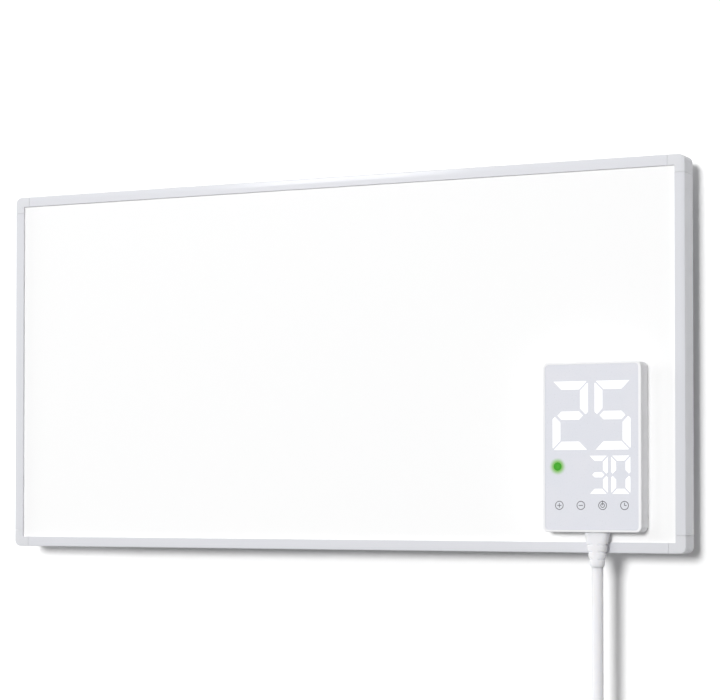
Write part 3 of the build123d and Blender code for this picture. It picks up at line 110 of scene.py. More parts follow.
# ======== the corner pieces
# Four moulded ABS corners, sprayed silver to match the bars, with tongues pushed into the bars. The
# spray's fine flake makes them a little rougher than the metal beside them.
sprayed = surface("sprayed_abs", "#DADBDF", 0.45, 0.3, relief=0.004, spread=0.08, Metallic=0.25)
dress(sprayed, "corner_top_left", "corner_top_right", "corner_bottom_left", "corner_bottom_right")

# ======== the seal and the pad
# A die-cut strip of white silicone foam between the frame's lip and the front plate, and a pad of
# black foam under the control box. The cells give both a dull, slightly pitted skin.
dress(surface("white_silicone_foam", "#E8E8EA", 0.85, 0.6, relief=0.06, spread=0.1), "plate_seal")
# The pad is black foam, and its black edge also stands in for shade: a painted dark shade line round the
# foot of the control box.
dress(surface("black_foam_and_painted_shade_line", "#232324", 0.85, 0.6, relief=0.06, spread=0.1), "mounting_pad")

# ======== the front plate
# Sheet steel with a white powder coat, which radiates the heat. Powder coat levels out to a faint
# orange peel with an even, soft sheen. The peel is drawn a little coarser, so that it shows.
powder = surface("white_powder_coat", "#FBFBFB", 0.46, 1.8, relief=0.02)
dress(powder, "front_plate")

# ======== the heating film and bus bars
# Carbon ink printed in stripes between two plastic films, fed by two strips of bare copper along
# its long edges. The film shines through its clear skin, and the copper has warmed to uneven tints.


def pattern(material, kind, size, inputs=(), **settings):
    """A texture that stays on its piece, with marks of this size in mm."""
    tree = material.node_tree
    given = {"Vector": tree.nodes["Place"].outputs["Object"], "Scale": 1 / (size * mm)}
    return add(tree, kind, {**given, **dict(inputs)}, **settings)


def tint(material, share, first, second, socket="Base Color"):
    """Colours a surface from one tint to another, by the share that a pattern gives."""
    tree = material.node_tree
    colour_a, colour_b, mixed = 6, 7, 2  # a Mix node's sockets for colours
    tints = {colour_a: linear(first) if isinstance(first, str) else first, colour_b: linear(second)}
    mix = add(tree, "ShaderNodeMix", {"Factor": share, **tints}, data_type="RGBA")
    tree.links.new(mix.outputs[mixed], tree.nodes["Principled BSDF"].inputs[socket])
    return mix.outputs[mixed]


stripe_pitch = 12.0
wave_turns = 20 / (2 * pi)  # bands of a Wave texture in one unit, at scale 1
film = surface("printed_carbon_film", "#1D1D1F", 0.22, 2.0, spread=0.05)
stripes = pattern(film, "ShaderNodeTexWave", stripe_pitch * wave_turns, wave_profile="SIN")
crisp = {"Value": stripes.outputs["Fac"], "From Min": 0.45, "From Max": 0.55}
tint(film, add(film.node_tree, "ShaderNodeMapRange", crisp), "#161618", "#343436")
dress(film, "heating_film")

tarnish_size = 9.0
copper = surface("bare_copper_strip", "#C88A66", 0.3, 0.4, relief=0.004, Metallic=1.0)
tarnish = pattern(copper, "ShaderNodeTexNoise", tarnish_size, {"Detail": 2.0})
tint(copper, tarnish, "#D3957A", "#A96E48")
dress(copper, "bus_bar_upper", "bus_bar_lower")

# ======== the insulation board
# Pressed mineral fibre, cut to leave a pocket for the wiring. Matted fibres lie flat in the board,
# so the surface is felted, dull and unevenly straw coloured.
mineral = surface("pressed_mineral_fibre", "#D8CCA4", 0.95, 0.9, relief=0.35, stretch=(0.35, 1, 1))
tint(mineral, mineral.node_tree.nodes["Grain"], "#BFB081", "#E6DCBB")
dress(mineral, "insulation_board")

# ======== the galvanised sheets
# The back cover, the hanger plates and the wall brackets are hot-dip galvanised steel. The zinc
# freezes in spangles, flat crystals that each take the light in their own way.
spangle_size = 7.0
edge_stray = 0.3  # how far the crystals' edges waver, as a share of their size
galvanised = surface("galvanised_steel", "#BCC0C4", 0.36, 0.5, relief=0.003, Metallic=1.0)
tree = galvanised.node_tree
ripple = pattern(galvanised, "ShaderNodeTexNoise", spangle_size, {"Detail": 2.0}).outputs["Color"]
stray = (edge_stray * spangle_size * mm,) * 3
wavering = {0: ripple, 1: stray, 2: tree.nodes["Place"].outputs["Object"]}
ragged = add(tree, "ShaderNodeVectorMath", wavering, operation="MULTIPLY_ADD")
spangle = pattern(galvanised, "ShaderNodeTexVoronoi", spangle_size, {"Vector": ragged})
crystal = add(tree, "ShaderNodeSeparateColor", {"Color": spangle.outputs["Color"]})
tint(galvanised, crystal.outputs["Red"], "#B3B8BB", "#C5C9CC")
frost = {"Value": crystal.outputs["Green"], "To Min": 0.3, "To Max": 0.45}
frost = add(tree, "ShaderNodeMapRange", frost)
tree.links.new(frost.outputs["Result"], tree.nodes["Principled BSDF"].inputs["Roughness"])
dress(galvanised, "back_cover", "hanger_plate_left", "hanger_plate_right")
dress(galvanised, "wall_bracket_left", "wall_bracket_right")

# ======== the wall studs
# Steel studs turned on an automatic lathe and zinc plated, riveted into the brackets. Bright zinc
# has a faint blue to straw passivation tint over the metal.
passivation_size = 3.0
zinc = surface("bright_zinc_plate", "#C7CACE", 0.27, 1.0, relief=0.0008, Metallic=1.0)
tint(zinc, pattern(zinc, "ShaderNodeTexNoise", passivation_size), "#BFC6D0", "#D2CDBE")
dress(zinc, "wall_studs")

# ======== the screws
# Pan-head steel screws with a cross recess, zinc plated: through the frame's corners, the rubber
# stand-offs, the control box and the cord clamp. Each stops at its own turn of the driver.


def new_tree(name, sizes, **others):
    """A geometry tree with a mesh in and out and these named inputs, and what it is given."""
    tree = bpy.data.node_groups.new(name, "GeometryNodeTree")
    inputs = {"Geometry": "Geometry", **dict.fromkeys(sizes, "Float"), **others, "Material": "Material"}
    for label, kind in inputs.items():
        tree.interface.new_socket(label, in_out="INPUT", socket_type="NodeSocket" + kind)
    tree.interface.new_socket("Geometry", in_out="OUTPUT", socket_type="NodeSocketGeometry")
    return tree, add(tree, "NodeGroupInput").outputs


def pass_out(tree, given, made):
    """Ends a tree: what it has made takes its material and goes out."""
    dressed = {"Geometry": made, "Material": given["Material"]}
    add(tree, "NodeGroupOutput", {"Geometry": add(tree, "GeometryNodeSetMaterial", dressed)})


def mesh_of(name, points, faces=()):
    mesh = bpy.data.meshes.new(name)
    mesh.from_pydata(points, [], faces)
    return mesh


def put(name, data):
    """An object of the scene, at its origin."""
    made = bpy.data.objects.new(name, data)
    bpy.context.scene.collection.objects.link(made)
    return made


def show(name, mesh):
    """An object for a mesh, smooth but for its sharp edges."""
    mesh.shade_smooth()
    mesh.set_sharp_from_angle(angle=radians(35))
    return put(name, mesh)


def plain_mesh(maker):
    """The mesh of an object with its modifiers applied. The object itself goes."""
    bpy.context.view_layer.update()
    graph = bpy.context.evaluated_depsgraph_get()
    mesh = bpy.data.meshes.new_from_object(maker.evaluated_get(graph), depsgraph=graph)
    bpy.data.objects.remove(maker)
    return mesh


def grow(name, tree, mesh, values):
    """The plain piece that a geometry tree makes of a mesh, with these values for its inputs."""
    maker = put(name + "_maker", mesh)
    modifier = maker.modifiers.new(tree.name, "NODES")
    modifier.node_group = tree
    for socket in tree.interface.items_tree:
        if socket.in_out == "INPUT" and socket.name in values:
            modifier[socket.identifier] = values[socket.name]
    return show(name, plain_mesh(maker))


def chain(tree, kind, value, *steps):
    """A value passed through a row of nodes, each with its operation and what else it takes."""
    for operation, *others in steps:
        value = add(tree, kind, dict(enumerate([value, *others])), operation=operation)
    return value


def flat_sheet(tree, sides, rows):
    """A unit sheet to roll up, and where its points lie across and along it."""
    grid = {"Size X": 1.0, "Size Y": 1.0, "Vertices X": sides + 1, "Vertices Y": rows}
    at = add(tree, "ShaderNodeSeparateXYZ", {0: add(tree, "GeometryNodeInputPosition")})
    return add(tree, "GeometryNodeMeshGrid", grid), at.outputs["X"], at.outputs["Y"]


def roll_up(tree, sheet, across, reach, level):
    """A sheet rolled up about Z and closed, with this radius and height at each of its points."""
    turn = chain(tree, "ShaderNodeMath", across, ("MULTIPLY", 2 * pi))
    x = chain(tree, "ShaderNodeMath", turn, ("COSINE",), ("MULTIPLY", reach))
    y = chain(tree, "ShaderNodeMath", turn, ("SINE",), ("MULTIPLY", reach))
    place = add(tree, "ShaderNodeCombineXYZ", {"X": x, "Y": y, "Z": level})
    rolled = add(tree, "GeometryNodeSetPosition", {"Geometry": sheet, "Position": place})
    return add(tree, "GeometryNodeMergeByDistance", {"Geometry": rolled, "Distance": 0.001 * mm})


def domed_cap(tree, radius, height, steepness, sides=32, rows=19):
    """A closed cap on Z = 0, its radius falling as its height grows."""
    sheet, across, up = flat_sheet(tree, sides, rows)
    turn = chain(tree, "ShaderNodeMath", up, ("MULTIPLY", pi))
    narrowing = (("COSINE",), ("MAXIMUM", 0.0), ("POWER", steepness), ("MULTIPLY", radius))
    reach = chain(tree, "ShaderNodeMath", turn, *narrowing)
    level = chain(tree, "ShaderNodeMath", turn, ("SINE",), ("MAXIMUM", 0.0), ("MULTIPLY", height))
    return roll_up(tree, sheet, across, reach, level)


shank_buried = 0.3 * mm  # how far the shank starts inside the head
thread_depth = 0.25  # as a share of the shank's radius
cone_share = 0.2  # of the shank's length


def threaded_shank(tree, radius, length, pitch, sides=24, rows=61):
    """A closed shank down from inside the head, with a thread that winds round it and a blunt cone."""
    sheet, across, up = flat_sheet(tree, sides, rows)
    sunk = chain(tree, "ShaderNodeMath", up, ("SUBTRACT", 0.5))
    level = chain(tree, "ShaderNodeMath", sunk, ("MULTIPLY_ADD", length, shank_buried))
    start = chain(tree, "ShaderNodeMath", sunk, ("MULTIPLY", -1.0 * rows))
    cone = (("ADD", 0.5), ("MULTIPLY", 1 / cone_share), ("MINIMUM", start), ("MINIMUM", 1.0))
    closed = chain(tree, "ShaderNodeMath", up, *cone)
    thread = (("DIVIDE", pitch), ("SUBTRACT", across), ("PINGPONG", 0.5))
    thread += (("MULTIPLY_ADD", -2 * thread_depth, 1.0), ("MULTIPLY", closed), ("MULTIPLY", radius))
    reach = chain(tree, "ShaderNodeMath", level, *thread)
    return roll_up(tree, sheet, across, reach, level)


def fuse_solids(tree, *solids):
    """Closed shapes that overlap, made one."""
    whole = add(tree, "GeometryNodeMeshBoolean", operation="UNION", solver="MANIFOLD")
    for solid in solids:
        tree.links.new(solid.outputs[0], whole.inputs["Mesh 2"])
    return whole


def place_at_points(tree, given, shape, seed):
    """Stands the shape on every point, facing one way and turned at random about its own axis."""
    spin = add(tree, "FunctionNodeRandomValue", {"Max": 2 * pi, "Seed": seed}, data_type="FLOAT")
    about = add(tree, "ShaderNodeCombineXYZ", {"Z": spin.outputs[1]})  # the output for a float
    turned = {0: given["Facing"], 1: add(tree, "FunctionNodeEulerToRotation", {0: about})}
    facing = add(tree, "FunctionNodeRotateRotation", turned, rotation_space="LOCAL")
    standing = {"Points": given["Geometry"], "Instance": shape, "Rotation": facing}
    standing = add(tree, "GeometryNodeInstanceOnPoints", standing)
    pass_out(tree, given, add(tree, "GeometryNodeRealizeInstances", {"Geometry": standing}))


head_sizes = ("Head Radius", "Head Height")
shank_sizes = ("Shank Radius", "Shank Length", "Thread Pitch")
cross_sizes = ("Cross Length", "Cross Width", "Cross Depth")
screw_tree, given = new_tree(
    "pan_head_screws", head_sizes + shank_sizes + cross_sizes, Facing="Rotation"
)
head = domed_cap(screw_tree, *[given[size] for size in head_sizes], steepness=0.32)
shank = threaded_shank(screw_tree, *[given[size] for size in shank_sizes])
solid = fuse_solids(screw_tree, head, shank)
cut = {"operation": "DIFFERENCE", "solver": "MANIFOLD"}
whole = add(screw_tree, "GeometryNodeMeshBoolean", {"Mesh 1": solid}, **cut)
twice_deep = chain(screw_tree, "ShaderNodeMath", given["Cross Depth"], ("MULTIPLY", 2.0))
top = add(screw_tree, "ShaderNodeCombineXYZ", {"Z": given["Head Height"]})
for long_way, short_way in ("XY", "YX"):
    size = {long_way: given["Cross Length"], short_way: given["Cross Width"], "Z": twice_deep}
    size = add(screw_tree, "ShaderNodeCombineXYZ", size)
    slot = add(screw_tree, "GeometryNodeMeshCube", {"Size": size})
    raised = add(screw_tree, "GeometryNodeTransform", {"Geometry": slot, "Translation": top})
    screw_tree.links.new(raised.outputs[0], whole.inputs["Mesh 2"])
place_at_points(screw_tree, given, whole, seed=4)

towards_wall = (-pi / 2, 0.0, 0.0)
towards_room = (pi / 2, 0.0, 0.0)


def drive_screws(node, head_radius, head_height, shank_radius, facing=towards_wall):
    """Screws of these sizes in mm, in place of a packed group, which gives their places and length."""
    low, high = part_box(node)
    head_radius, head_height, shank_radius = head_radius * mm, head_height * mm, shank_radius * mm
    columns = {round(low.x + head_radius, 5), round(high.x - head_radius, 5)}
    rows = {round(low.z + head_radius, 5), round(high.z - head_radius, 5)}
    seat = high.y - head_height if facing == towards_wall else low.y + head_height
    places = [(x, seat, z) for x in sorted(columns) for z in sorted(rows)]
    values = {
        "Head Radius": head_radius,
        "Head Height": head_height,
        "Shank Radius": shank_radius,
        "Shank Length": high.y - low.y - head_height + shank_buried,
        "Thread Pitch": 0.75 * shank_radius,
        "Cross Length": 1.15 * head_radius,
        "Cross Width": 0.24 * head_radius,
        "Cross Depth": 0.55 * head_height,
        "Facing": facing,
        "Material": zinc,
    }
    screws = grow(node + "_driven", screw_tree, mesh_of(node, places), values)
    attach(screws, "panel")
    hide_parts(node)


drive_screws("corner_screws", 2.8, 2.0, 1.45)
drive_screws("spacer_screws", 2.8, 2.0, 1.45)
drive_screws("control_case_screws", 2.2, 1.4, 1.2)
drive_screws("control_mounting_screws", 2.8, 1.8, 1.5)
drive_screws("clamp_screws", 2.2, 1.4, 1.2, facing=towards_room)

# ======== the rubber stand-offs
# Two moulded nitrile rubber feet, screwed to the cover, keep the panel's lower edge off the wall.
# They are matt, with a soft bloom.
rubber = surface("nitrile_rubber", "#57575A", 0.8, 0.8, relief=0.02, spread=0.08)
dress(rubber, "wall_spacers")

# ======== the control box's case
# Two half shells of white ABS, screwed together from behind. The mould was spark eroded, which
# leaves a fine, even matt grain. The cord clamp inside is of the same plastic.
abs_white = surface("spark_eroded_abs", "#F4F4F6", 0.5, 0.35, relief=0.012, spread=0.06)
dress(abs_white, "control_front_shell", "control_rear_shell", "cord_clamp")

# ======== the lit face
# A satin grey acrylic window. The digits are white light guides set flush into it, and the lamp is a
# green lens. The lamp's glow on the acrylic round it is painted light: a green tint and green emission
# on the acrylic. The key signs are printed in a darker grey.
face_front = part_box("control_face")[0].y
lamp_low, lamp_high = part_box("power_lamp")
lamp_centre = Vector(((lamp_low.x + lamp_high.x) / 2, face_front, (lamp_low.z + lamp_high.z) / 2))
lamp_radius = (lamp_high.x - lamp_low.x) / 2
painted_glow_radius = 7.2 * mm


def round_the_lamp(material, **reach):
    """A share that changes with the distance from the lamp's middle, as far as this reach."""
    tree = material.node_tree
    ends = {0: tree.nodes["Place"].outputs["Object"], 1: lamp_centre}
    away = add(tree, "ShaderNodeVectorMath", ends, operation="DISTANCE").outputs["Value"]
    reach = {name.replace("_", " "): value for name, value in reach.items()}
    return add(tree, "ShaderNodeMapRange", {"Value": away, **reach}, interpolation_type="SMOOTHSTEP")


haze_size = 22.0
coat_and_painted_glow = {"Coat_Weight": 0.25, "Coat_Roughness": 0.2, "Emission_Strength": 0.12}
acrylic = surface("satin_acrylic", "#DEE0E7", 0.3, 1.2, relief=0.003, **coat_and_painted_glow)
haze = pattern(acrylic, "ShaderNodeTexNoise", haze_size, {"Detail": 1.0})
hazy = tint(acrylic, haze, "#DCDFE7", "#E3E3E9")
# Painted glow: near the lamp the acrylic is tinted green and emits green, fading out at the glow's
# radius.
painted_glow = round_the_lamp(acrylic, From_Min=lamp_radius, From_Max=painted_glow_radius, To_Min=1.0, To_Max=0.0)
tint(acrylic, painted_glow, hazy, "#7DB45C")
tint(acrylic, painted_glow, "#000000", "#7FC060", "Emission Color")
dress(acrylic, "control_face")

guide = surface("lit_white_light_guide", "#FFFFFF", 0.4, 0.8, spread=0.03, Emission_Strength=0.1)
tint(guide, guide.node_tree.nodes["Grain"], "#F6F8FF", "#FFFFFF", "Emission Color")
dress(guide, "temperature_digits", "timer_digits")

lens = surface("green_lamp_lens", "#1E6E0C", 0.3, 0.8, spread=0.03, Emission_Strength=0.35)
spot = round_the_lamp(lens, From_Min=0.0, From_Max=lamp_radius)
tint(lens, spot, "#5CD818", "#48BC10", "Emission Color")
dress(lens, "power_lamp")

print_ink = surface("printed_grey_ink", "#6C6C70", 0.5, 0.3, spread=0.08)
dress(print_ink, "key_legends")

# ======== the electronics
# A green solder-masked board carries a light box for the digits, sponge touch pads, a relay, a blue
# film capacitor, a terminal block and a glass fuse. Each has its own moulded or dipped finish.
track_pitch = 3.2
solder_mask = surface("green_solder_mask", "#10502A", 0.3, 0.5, spread=0.05)
tracks = pattern(solder_mask, "ShaderNodeTexVoronoi", track_pitch, feature="DISTANCE_TO_EDGE")
track = {"Value": tracks.outputs["Distance"], "From Min": 0.1, "From Max": 0.14}
tint(solder_mask, add(solder_mask.node_tree, "ShaderNodeMapRange", track), "#1F7A42", "#0F4A26")
dress(solder_mask, "circuit_board")

dress(surface("moulded_white_light_box", "#E8E8E2", 0.5, 0.5, relief=0.01), "display_module")
dress(surface("moulded_terminal_block", "#DCDCD4", 0.45, 0.5, relief=0.01), "terminal_block")
dress(surface("carbon_loaded_sponge", "#2A2A2C", 0.9, 0.5, relief=0.1), "touch_pads")
dress(surface("moulded_relay_case", "#1B1B1D", 0.35, 0.4, relief=0.006), "power_relay")
dress(surface("blue_epoxy_dip", "#24439C", 0.25, 1.5, relief=0.02), "dropper_capacitor")
dress(surface("phenolic_cutout_case", "#231F1D", 0.5, 0.6, relief=0.02), "thermal_cutout")
dress(surface("epoxy_sensor_bead", "#1E1E20", 0.25, 1.0, relief=0.03), "temperature_sensor")
dress(surface("moulded_rubber_grommet", "#262627", 0.75, 0.6, relief=0.02), "cable_grommet")
dress(zinc, "earth_terminal")

# ======== the fuse
# A 5 x 20 glass tube fuse, clipped onto the board. It has nickel plated brass caps, and a fine wire
# soldered along its middle.


def face_out(mesh):
    """Turns a closed mesh's faces outwards."""
    shell = bmesh.new()
    shell.from_mesh(mesh)
    bmesh.ops.recalc_face_normals(shell, faces=shell.faces)
    shell.to_mesh(mesh)
    shell.free()


def lathe(name, profile, sides):
    """A mesh turned about Z from (radius, height) pairs, which end on Z or where they began."""
    points = []
    rings = {}
    for radius, height in profile:
        if (radius, height) not in rings:
            turns = [2 * pi * side / sides for side in range(sides if radius else 1)]
            ring = list(range(len(points), len(points) + len(turns)))
            rings[radius, height] = ring * (sides // len(turns))
            points += [(radius * cos(turn), radius * sin(turn), height) for turn in turns]
    faces = []
    for first, second in zip(profile, profile[1:]):
        lower, upper = rings[tuple(first)], rings[tuple(second)]
        for side in range(sides):
            after = (side + 1) % sides
            corners = [lower[side], lower[after], upper[after], upper[side]]
            faces.append(list(dict.fromkeys(corners)))
    mesh = mesh_of(name, points, faces)
    face_out(mesh)
    return mesh


fuse_low, fuse_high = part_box("fuse")
half_fuse = (fuse_high.x - fuse_low.x) / 2
fuse_radius = (fuse_high.z - fuse_low.z) / 2
lying = Matrix.Translation((fuse_low + fuse_high) / 2) @ Matrix.Rotation(pi / 2, 4, "Y")
glass_radius = 0.88 * fuse_radius
bore_radius = glass_radius - 0.16 * fuse_radius
cap_length = 5.0 * mm
cap_edge = half_fuse - cap_length
cap_round = 0.35 * mm
tube_end = half_fuse - cap_round
strand_radius = 0.12 * mm
tube_wall = [(bore_radius, -tube_end), (glass_radius, -tube_end), (glass_radius, tube_end)]
tube = lathe("fuse_tube", [*tube_wall, (bore_radius, tube_end), tube_wall[0]], sides=32)
caps = bpy.data.meshes.new("fuse_caps")
shell = bmesh.new()
outside = [(0.0, half_fuse), (fuse_radius - cap_round, half_fuse), (fuse_radius, tube_end)]
inside = [(glass_radius, cap_edge), (glass_radius, tube_end), (0.0, tube_end)]
cap_corners = [*outside, (fuse_radius, cap_edge), *inside]
for end in (-1, 1):
    cap = lathe("cap", [(radius, end * height) for radius, height in cap_corners], sides=32)
    shell.from_mesh(cap)
    bpy.data.meshes.remove(cap)
shell.to_mesh(caps)
shell.free()
strand_wall = [(strand_radius, -tube_end), (strand_radius, tube_end)]
strand = lathe("fuse_strand", [(0.0, -tube_end), *strand_wall, (0.0, tube_end)], sides=8)
glass = surface("clear_fuse_glass", "#F4F8F6", 0.04, 2.0, spread=0.02, Transmission_Weight=1.0, IOR=1.47)
nickel = surface("bright_nickel_plate", "#D4CFC6", 0.16, 0.3, relief=0.002, Metallic=1.0)
for name, mesh, material in (
    ("fuse_tube", tube, glass),
    ("fuse_caps", caps, nickel),
    ("fuse_strand", strand, nickel),
):
    mesh.transform(lying)
    mesh.materials.append(material)
    piece = show(name, mesh)
    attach(piece, "panel")
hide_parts("fuse")

# ======== the wires
# Stranded copper in silicone sleeves: brown, blue, and green with yellow for the earth, which bends
# easily and has a dull, slightly tacky skin.
for node, name, code in (
    ("wire_live", "brown_silicone_sleeve", "#5B3420"),
    ("wire_neutral", "blue_silicone_sleeve", "#1D4E9E"),
    ("wire_sensor", "grey_silicone_sleeve", "#4B4B50"),
):
    dress(surface(name, code, 0.55, 0.8, relief=0.01), node)


def past(material, way, place, operation="GREATER_THAN"):
    """1 on the part of a piece that is past this place along an axis, and 0 on the rest."""
    tree = material.node_tree
    at = add(tree, "ShaderNodeSeparateXYZ", {0: tree.nodes["Place"].outputs["Object"]})
    return chain(tree, "ShaderNodeMath", at.outputs[way], (operation, place))


earth_low, earth_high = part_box("wire_earth")
earth_sleeve = surface("green_and_yellow_silicone_sleeve", "#3E8A2E", 0.55, 0.8, relief=0.01)
yellow_side = past(earth_sleeve, "X", (earth_low.x + earth_high.x) / 2)
tint(earth_sleeve, yellow_side, "#3E8A2E", "#E3CC2F")
dress(earth_sleeve, "wire_earth")

# ======== the rivets
# Blind rivets hold the hanger plates to the cover. Each has a low domed head with the broken end of
# its mandrel in the middle, and its tail is upset inside the cover.
rivet_low, rivet_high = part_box("hanger_rivets")
rivet_head = 3.2 * mm
rivet_dome = 0.9 * mm
rivet_spacing = 52.0 * mm
rivet = {
    "Head Radius": rivet_head,
    "Head Height": rivet_dome,
    "Tail Radius": 2.6 * mm,
    "Shank Radius": 1.6 * mm,
    "Grip": rivet_high.y - rivet_low.y - 2 * rivet_dome,
    "Mandrel Radius": 0.85 * mm,
}
tree, given = new_tree("blind_rivets", rivet, Facing="Rotation")
dome, grip = given["Head Height"], given["Grip"]
head = domed_cap(tree, given["Head Radius"], dome, steepness=0.6)
tail = domed_cap(tree, given["Tail Radius"], dome, steepness=0.5)
below = chain(tree, "ShaderNodeMath", grip, ("MULTIPLY", -1.0))
halfway = chain(tree, "ShaderNodeMath", grip, ("MULTIPLY", -0.5))
shank_length = chain(tree, "ShaderNodeMath", grip, ("ADD", dome))
under = add(tree, "ShaderNodeCombineXYZ", {"Z": below})
upside_down = {"Geometry": tail, "Translation": under, "Rotation": (pi, 0.0, 0.0)}
tail = add(tree, "GeometryNodeTransform", upside_down)
pins = []
for radius, length, level in (("Shank Radius", shank_length, halfway), ("Mandrel Radius", dome, dome)):
    sizes = {"Vertices": 24, "Radius": given[radius], "Depth": length}
    raised = {"Translation": add(tree, "ShaderNodeCombineXYZ", {"Z": level})}
    raised["Geometry"] = add(tree, "GeometryNodeMeshCylinder", sizes)
    pins.append(add(tree, "GeometryNodeTransform", raised))
shank, bore = pins
bored = {"Mesh 1": fuse_solids(tree, head, shank, tail), "Mesh 2": bore}
place_at_points(tree, given, add(tree, "GeometryNodeMeshBoolean", bored, **cut), seed=9)

rivet_places = []
for side in ("left", "right"):
    plate_low, plate_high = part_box("hanger_plate_" + side)
    for x_side in (-1, 1):
        x = (plate_low.x + plate_high.x) / 2 + x_side * rivet_spacing / 2
        for z in (rivet_low.z + rivet_head, rivet_high.z - rivet_head):
            rivet_places.append((x, rivet_high.y - rivet_dome, z))
values = {**rivet, "Facing": towards_wall, "Material": zinc}
rivets = grow("blind_rivets", tree, mesh_of("rivet_places", rivet_places), values)
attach(rivets, "panel")
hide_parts("hanger_rivets")

# ======== the strain relief
# A soft white PVC boot, moulded onto the cord. Grooves across its sides let it bend, and a flat
# spine bridges them at the front and back. Its flange sits inside the case, behind a narrow neck.
light_spread = 5.0 * mm  # how far light goes on inside the plastic
milky = {"Subsurface_Weight": 1.0, "Subsurface_Radius": (1.0, 0.97, 0.92)}
milky["Subsurface_Scale"] = light_spread
pvc = surface("smooth_white_pvc", "#ECECEF", 0.34, 3.0, relief=0.01, spread=0.05, **milky)
boot_low, boot_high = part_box("strain_relief")
cord_x = (boot_low.x + boot_high.x) / 2
cord_y = (boot_low.y + boot_high.y) / 2
case_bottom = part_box("control_front_shell")[0].z
boot_length = case_bottom - boot_low.z
cord_radius = 4.5 * mm
corner_steps = 10
side_steps = 16


def rounded_row(width, depth, radius, z):
    """A rounded rectangle about the Z axis as a row of points, as many for any size."""
    arcs = []
    for number, (x_side, y_side) in enumerate(((1, 1), (-1, 1), (-1, -1), (1, -1))):
        centre = Vector((x_side * (width / 2 - radius), y_side * (depth / 2 - radius), z))
        turns = [pi / 2 * (number + step / corner_steps) for step in range(corner_steps + 1)]
        arcs.append([centre + radius * Vector((cos(turn), sin(turn), 0)) for turn in turns])
    row = []
    for arc, following in zip(arcs, arcs[1:] + arcs[:1]):
        row += arc
        row += [arc[-1].lerp(following[0], step / side_steps) for step in range(1, side_steps)]
    return row


def skin(name, rows):
    """A closed mesh over rows of as many points, with its two ends filled."""
    size = len(rows[0])
    points = [point for row in rows for point in row]
    faces = [list(range(size)), list(range(len(points) - size, len(points)))]
    for here in range(0, len(points) - size, size):
        there = here + size
        for at in range(size):
            after = (at + 1) % size
            faces.append([here + at, here + after, there + after, there + at])
    mesh = mesh_of(name, points, faces)
    face_out(mesh)
    return mesh


def between(first, second, share):
    return [a + share * (b - a) for a, b in zip(first, second)]


flange = (18.0 * mm, 8.4 * mm, 0.4 * mm)  # width, depth and corner radius
flange_top, flange_under = 4.15 * mm, 2.15 * mm  # above the case's lower edge
neck = (13.7 * mm, 7.7 * mm, 0.4 * mm)
boot_top = (19.0 * mm, 11.0 * mm, 4.0 * mm)
boot_tip = (10.4 * mm, 10.4 * mm, 4.99 * mm)
edge_round = 0.5 * mm
fine_rows = 72


def eased_edge(sizes, end, way, turns):
    """Rows that round off an end's edge, at these degrees of the round."""
    rows = []
    for turn in turns:
        inset, off = (edge_round * (1 - part(radians(turn))) for part in (sin, cos))
        width, depth, radius = sizes
        row = (width - 2 * inset, depth - 2 * inset, radius - inset, end + way * off)
        rows.append(rounded_row(*row))
    return rows


steps = ((flange, flange_top), (flange, flange_under), (neck, flange_under), (neck, 0.0))
boot_rows = [rounded_row(*sizes, z) for sizes, z in steps]
boot_rows += eased_edge(boot_top, 0.0, -1, (0.0, 30.0, 60.0))
for share in [number / fine_rows for number in range(1, fine_rows)]:
    boot_rows.append(rounded_row(*between(boot_top, boot_tip, share), -share * boot_length))
boot_rows += eased_edge(boot_tip, -boot_length, 1, (60.0, 30.0, 0.0))
boot_rows.append(rounded_row(2 * cord_radius, 2 * cord_radius, 0.99 * cord_radius, -boot_length))


def press_in(tree, given, here, depth):
    """Presses a mesh's points in towards the Z axis by this depth, and ends the tree."""
    flat = ("MULTIPLY", (-1.0, -1.0, 0.0))
    inward = chain(tree, "ShaderNodeVectorMath", here, flat, ("NORMALIZE",))
    shift = add(tree, "ShaderNodeVectorMath", {0: inward, "Scale": depth}, operation="SCALE")
    pressed = {"Geometry": given["Geometry"], "Offset": shift}
    pass_out(tree, given, add(tree, "GeometryNodeSetPosition", pressed))


groove = {
    "First Groove": 8.0 * mm,
    "Groove Pitch": 5.6 * mm,
    "Groove Width": 1.6 * mm,
    "Groove Depth": 0.9 * mm,
    "Groove Count": 3.0,
    "Groove Sag": 0.12,
    "Spine Width": 4.0 * mm,
}
spine_blend = 0.6 * mm  # over which the grooves run out beside the spine
tree, given = new_tree("bend_grooves", groove)
here = add(tree, "GeometryNodeInputPosition")
at = add(tree, "ShaderNodeSeparateXYZ", {0: here})
pitch = given["Groove Pitch"]
sideways = chain(tree, "ShaderNodeMath", at.outputs["X"], ("ABSOLUTE",))
sag = chain(tree, "ShaderNodeMath", sideways, ("MULTIPLY", given["Groove Sag"]))
from_first = (("ADD", sag), ("ADD", given["First Groove"]), ("MULTIPLY", -1.0))
below = chain(tree, "ShaderNodeMath", at.outputs["Z"], *from_first)
count = chain(tree, "ShaderNodeMath", below, ("DIVIDE", pitch))
started = chain(tree, "ShaderNodeMath", count, ("GREATER_THAN", 0.0))
ended = chain(tree, "ShaderNodeMath", count, ("LESS_THAN", given["Groove Count"]))
spine = chain(tree, "ShaderNodeMath", given["Spine Width"], ("MULTIPLY", 0.5))
spine_edge = chain(tree, "ShaderNodeMath", spine, ("ADD", spine_blend))
beside = {"Value": sideways, "From Min": spine, "From Max": spine_edge}
beside = add(tree, "ShaderNodeMapRange", beside, interpolation_type="SMOOTHSTEP")
arch = (("FLOORED_MODULO", pitch), ("DIVIDE", given["Groove Width"]), ("MINIMUM", 1.0))
arch += (("MULTIPLY", pi), ("SINE",), ("MULTIPLY", started), ("MULTIPLY", ended))
arch += (("MULTIPLY", beside), ("MULTIPLY", given["Groove Depth"]))
press_in(tree, given, here, chain(tree, "ShaderNodeMath", below, *arch))
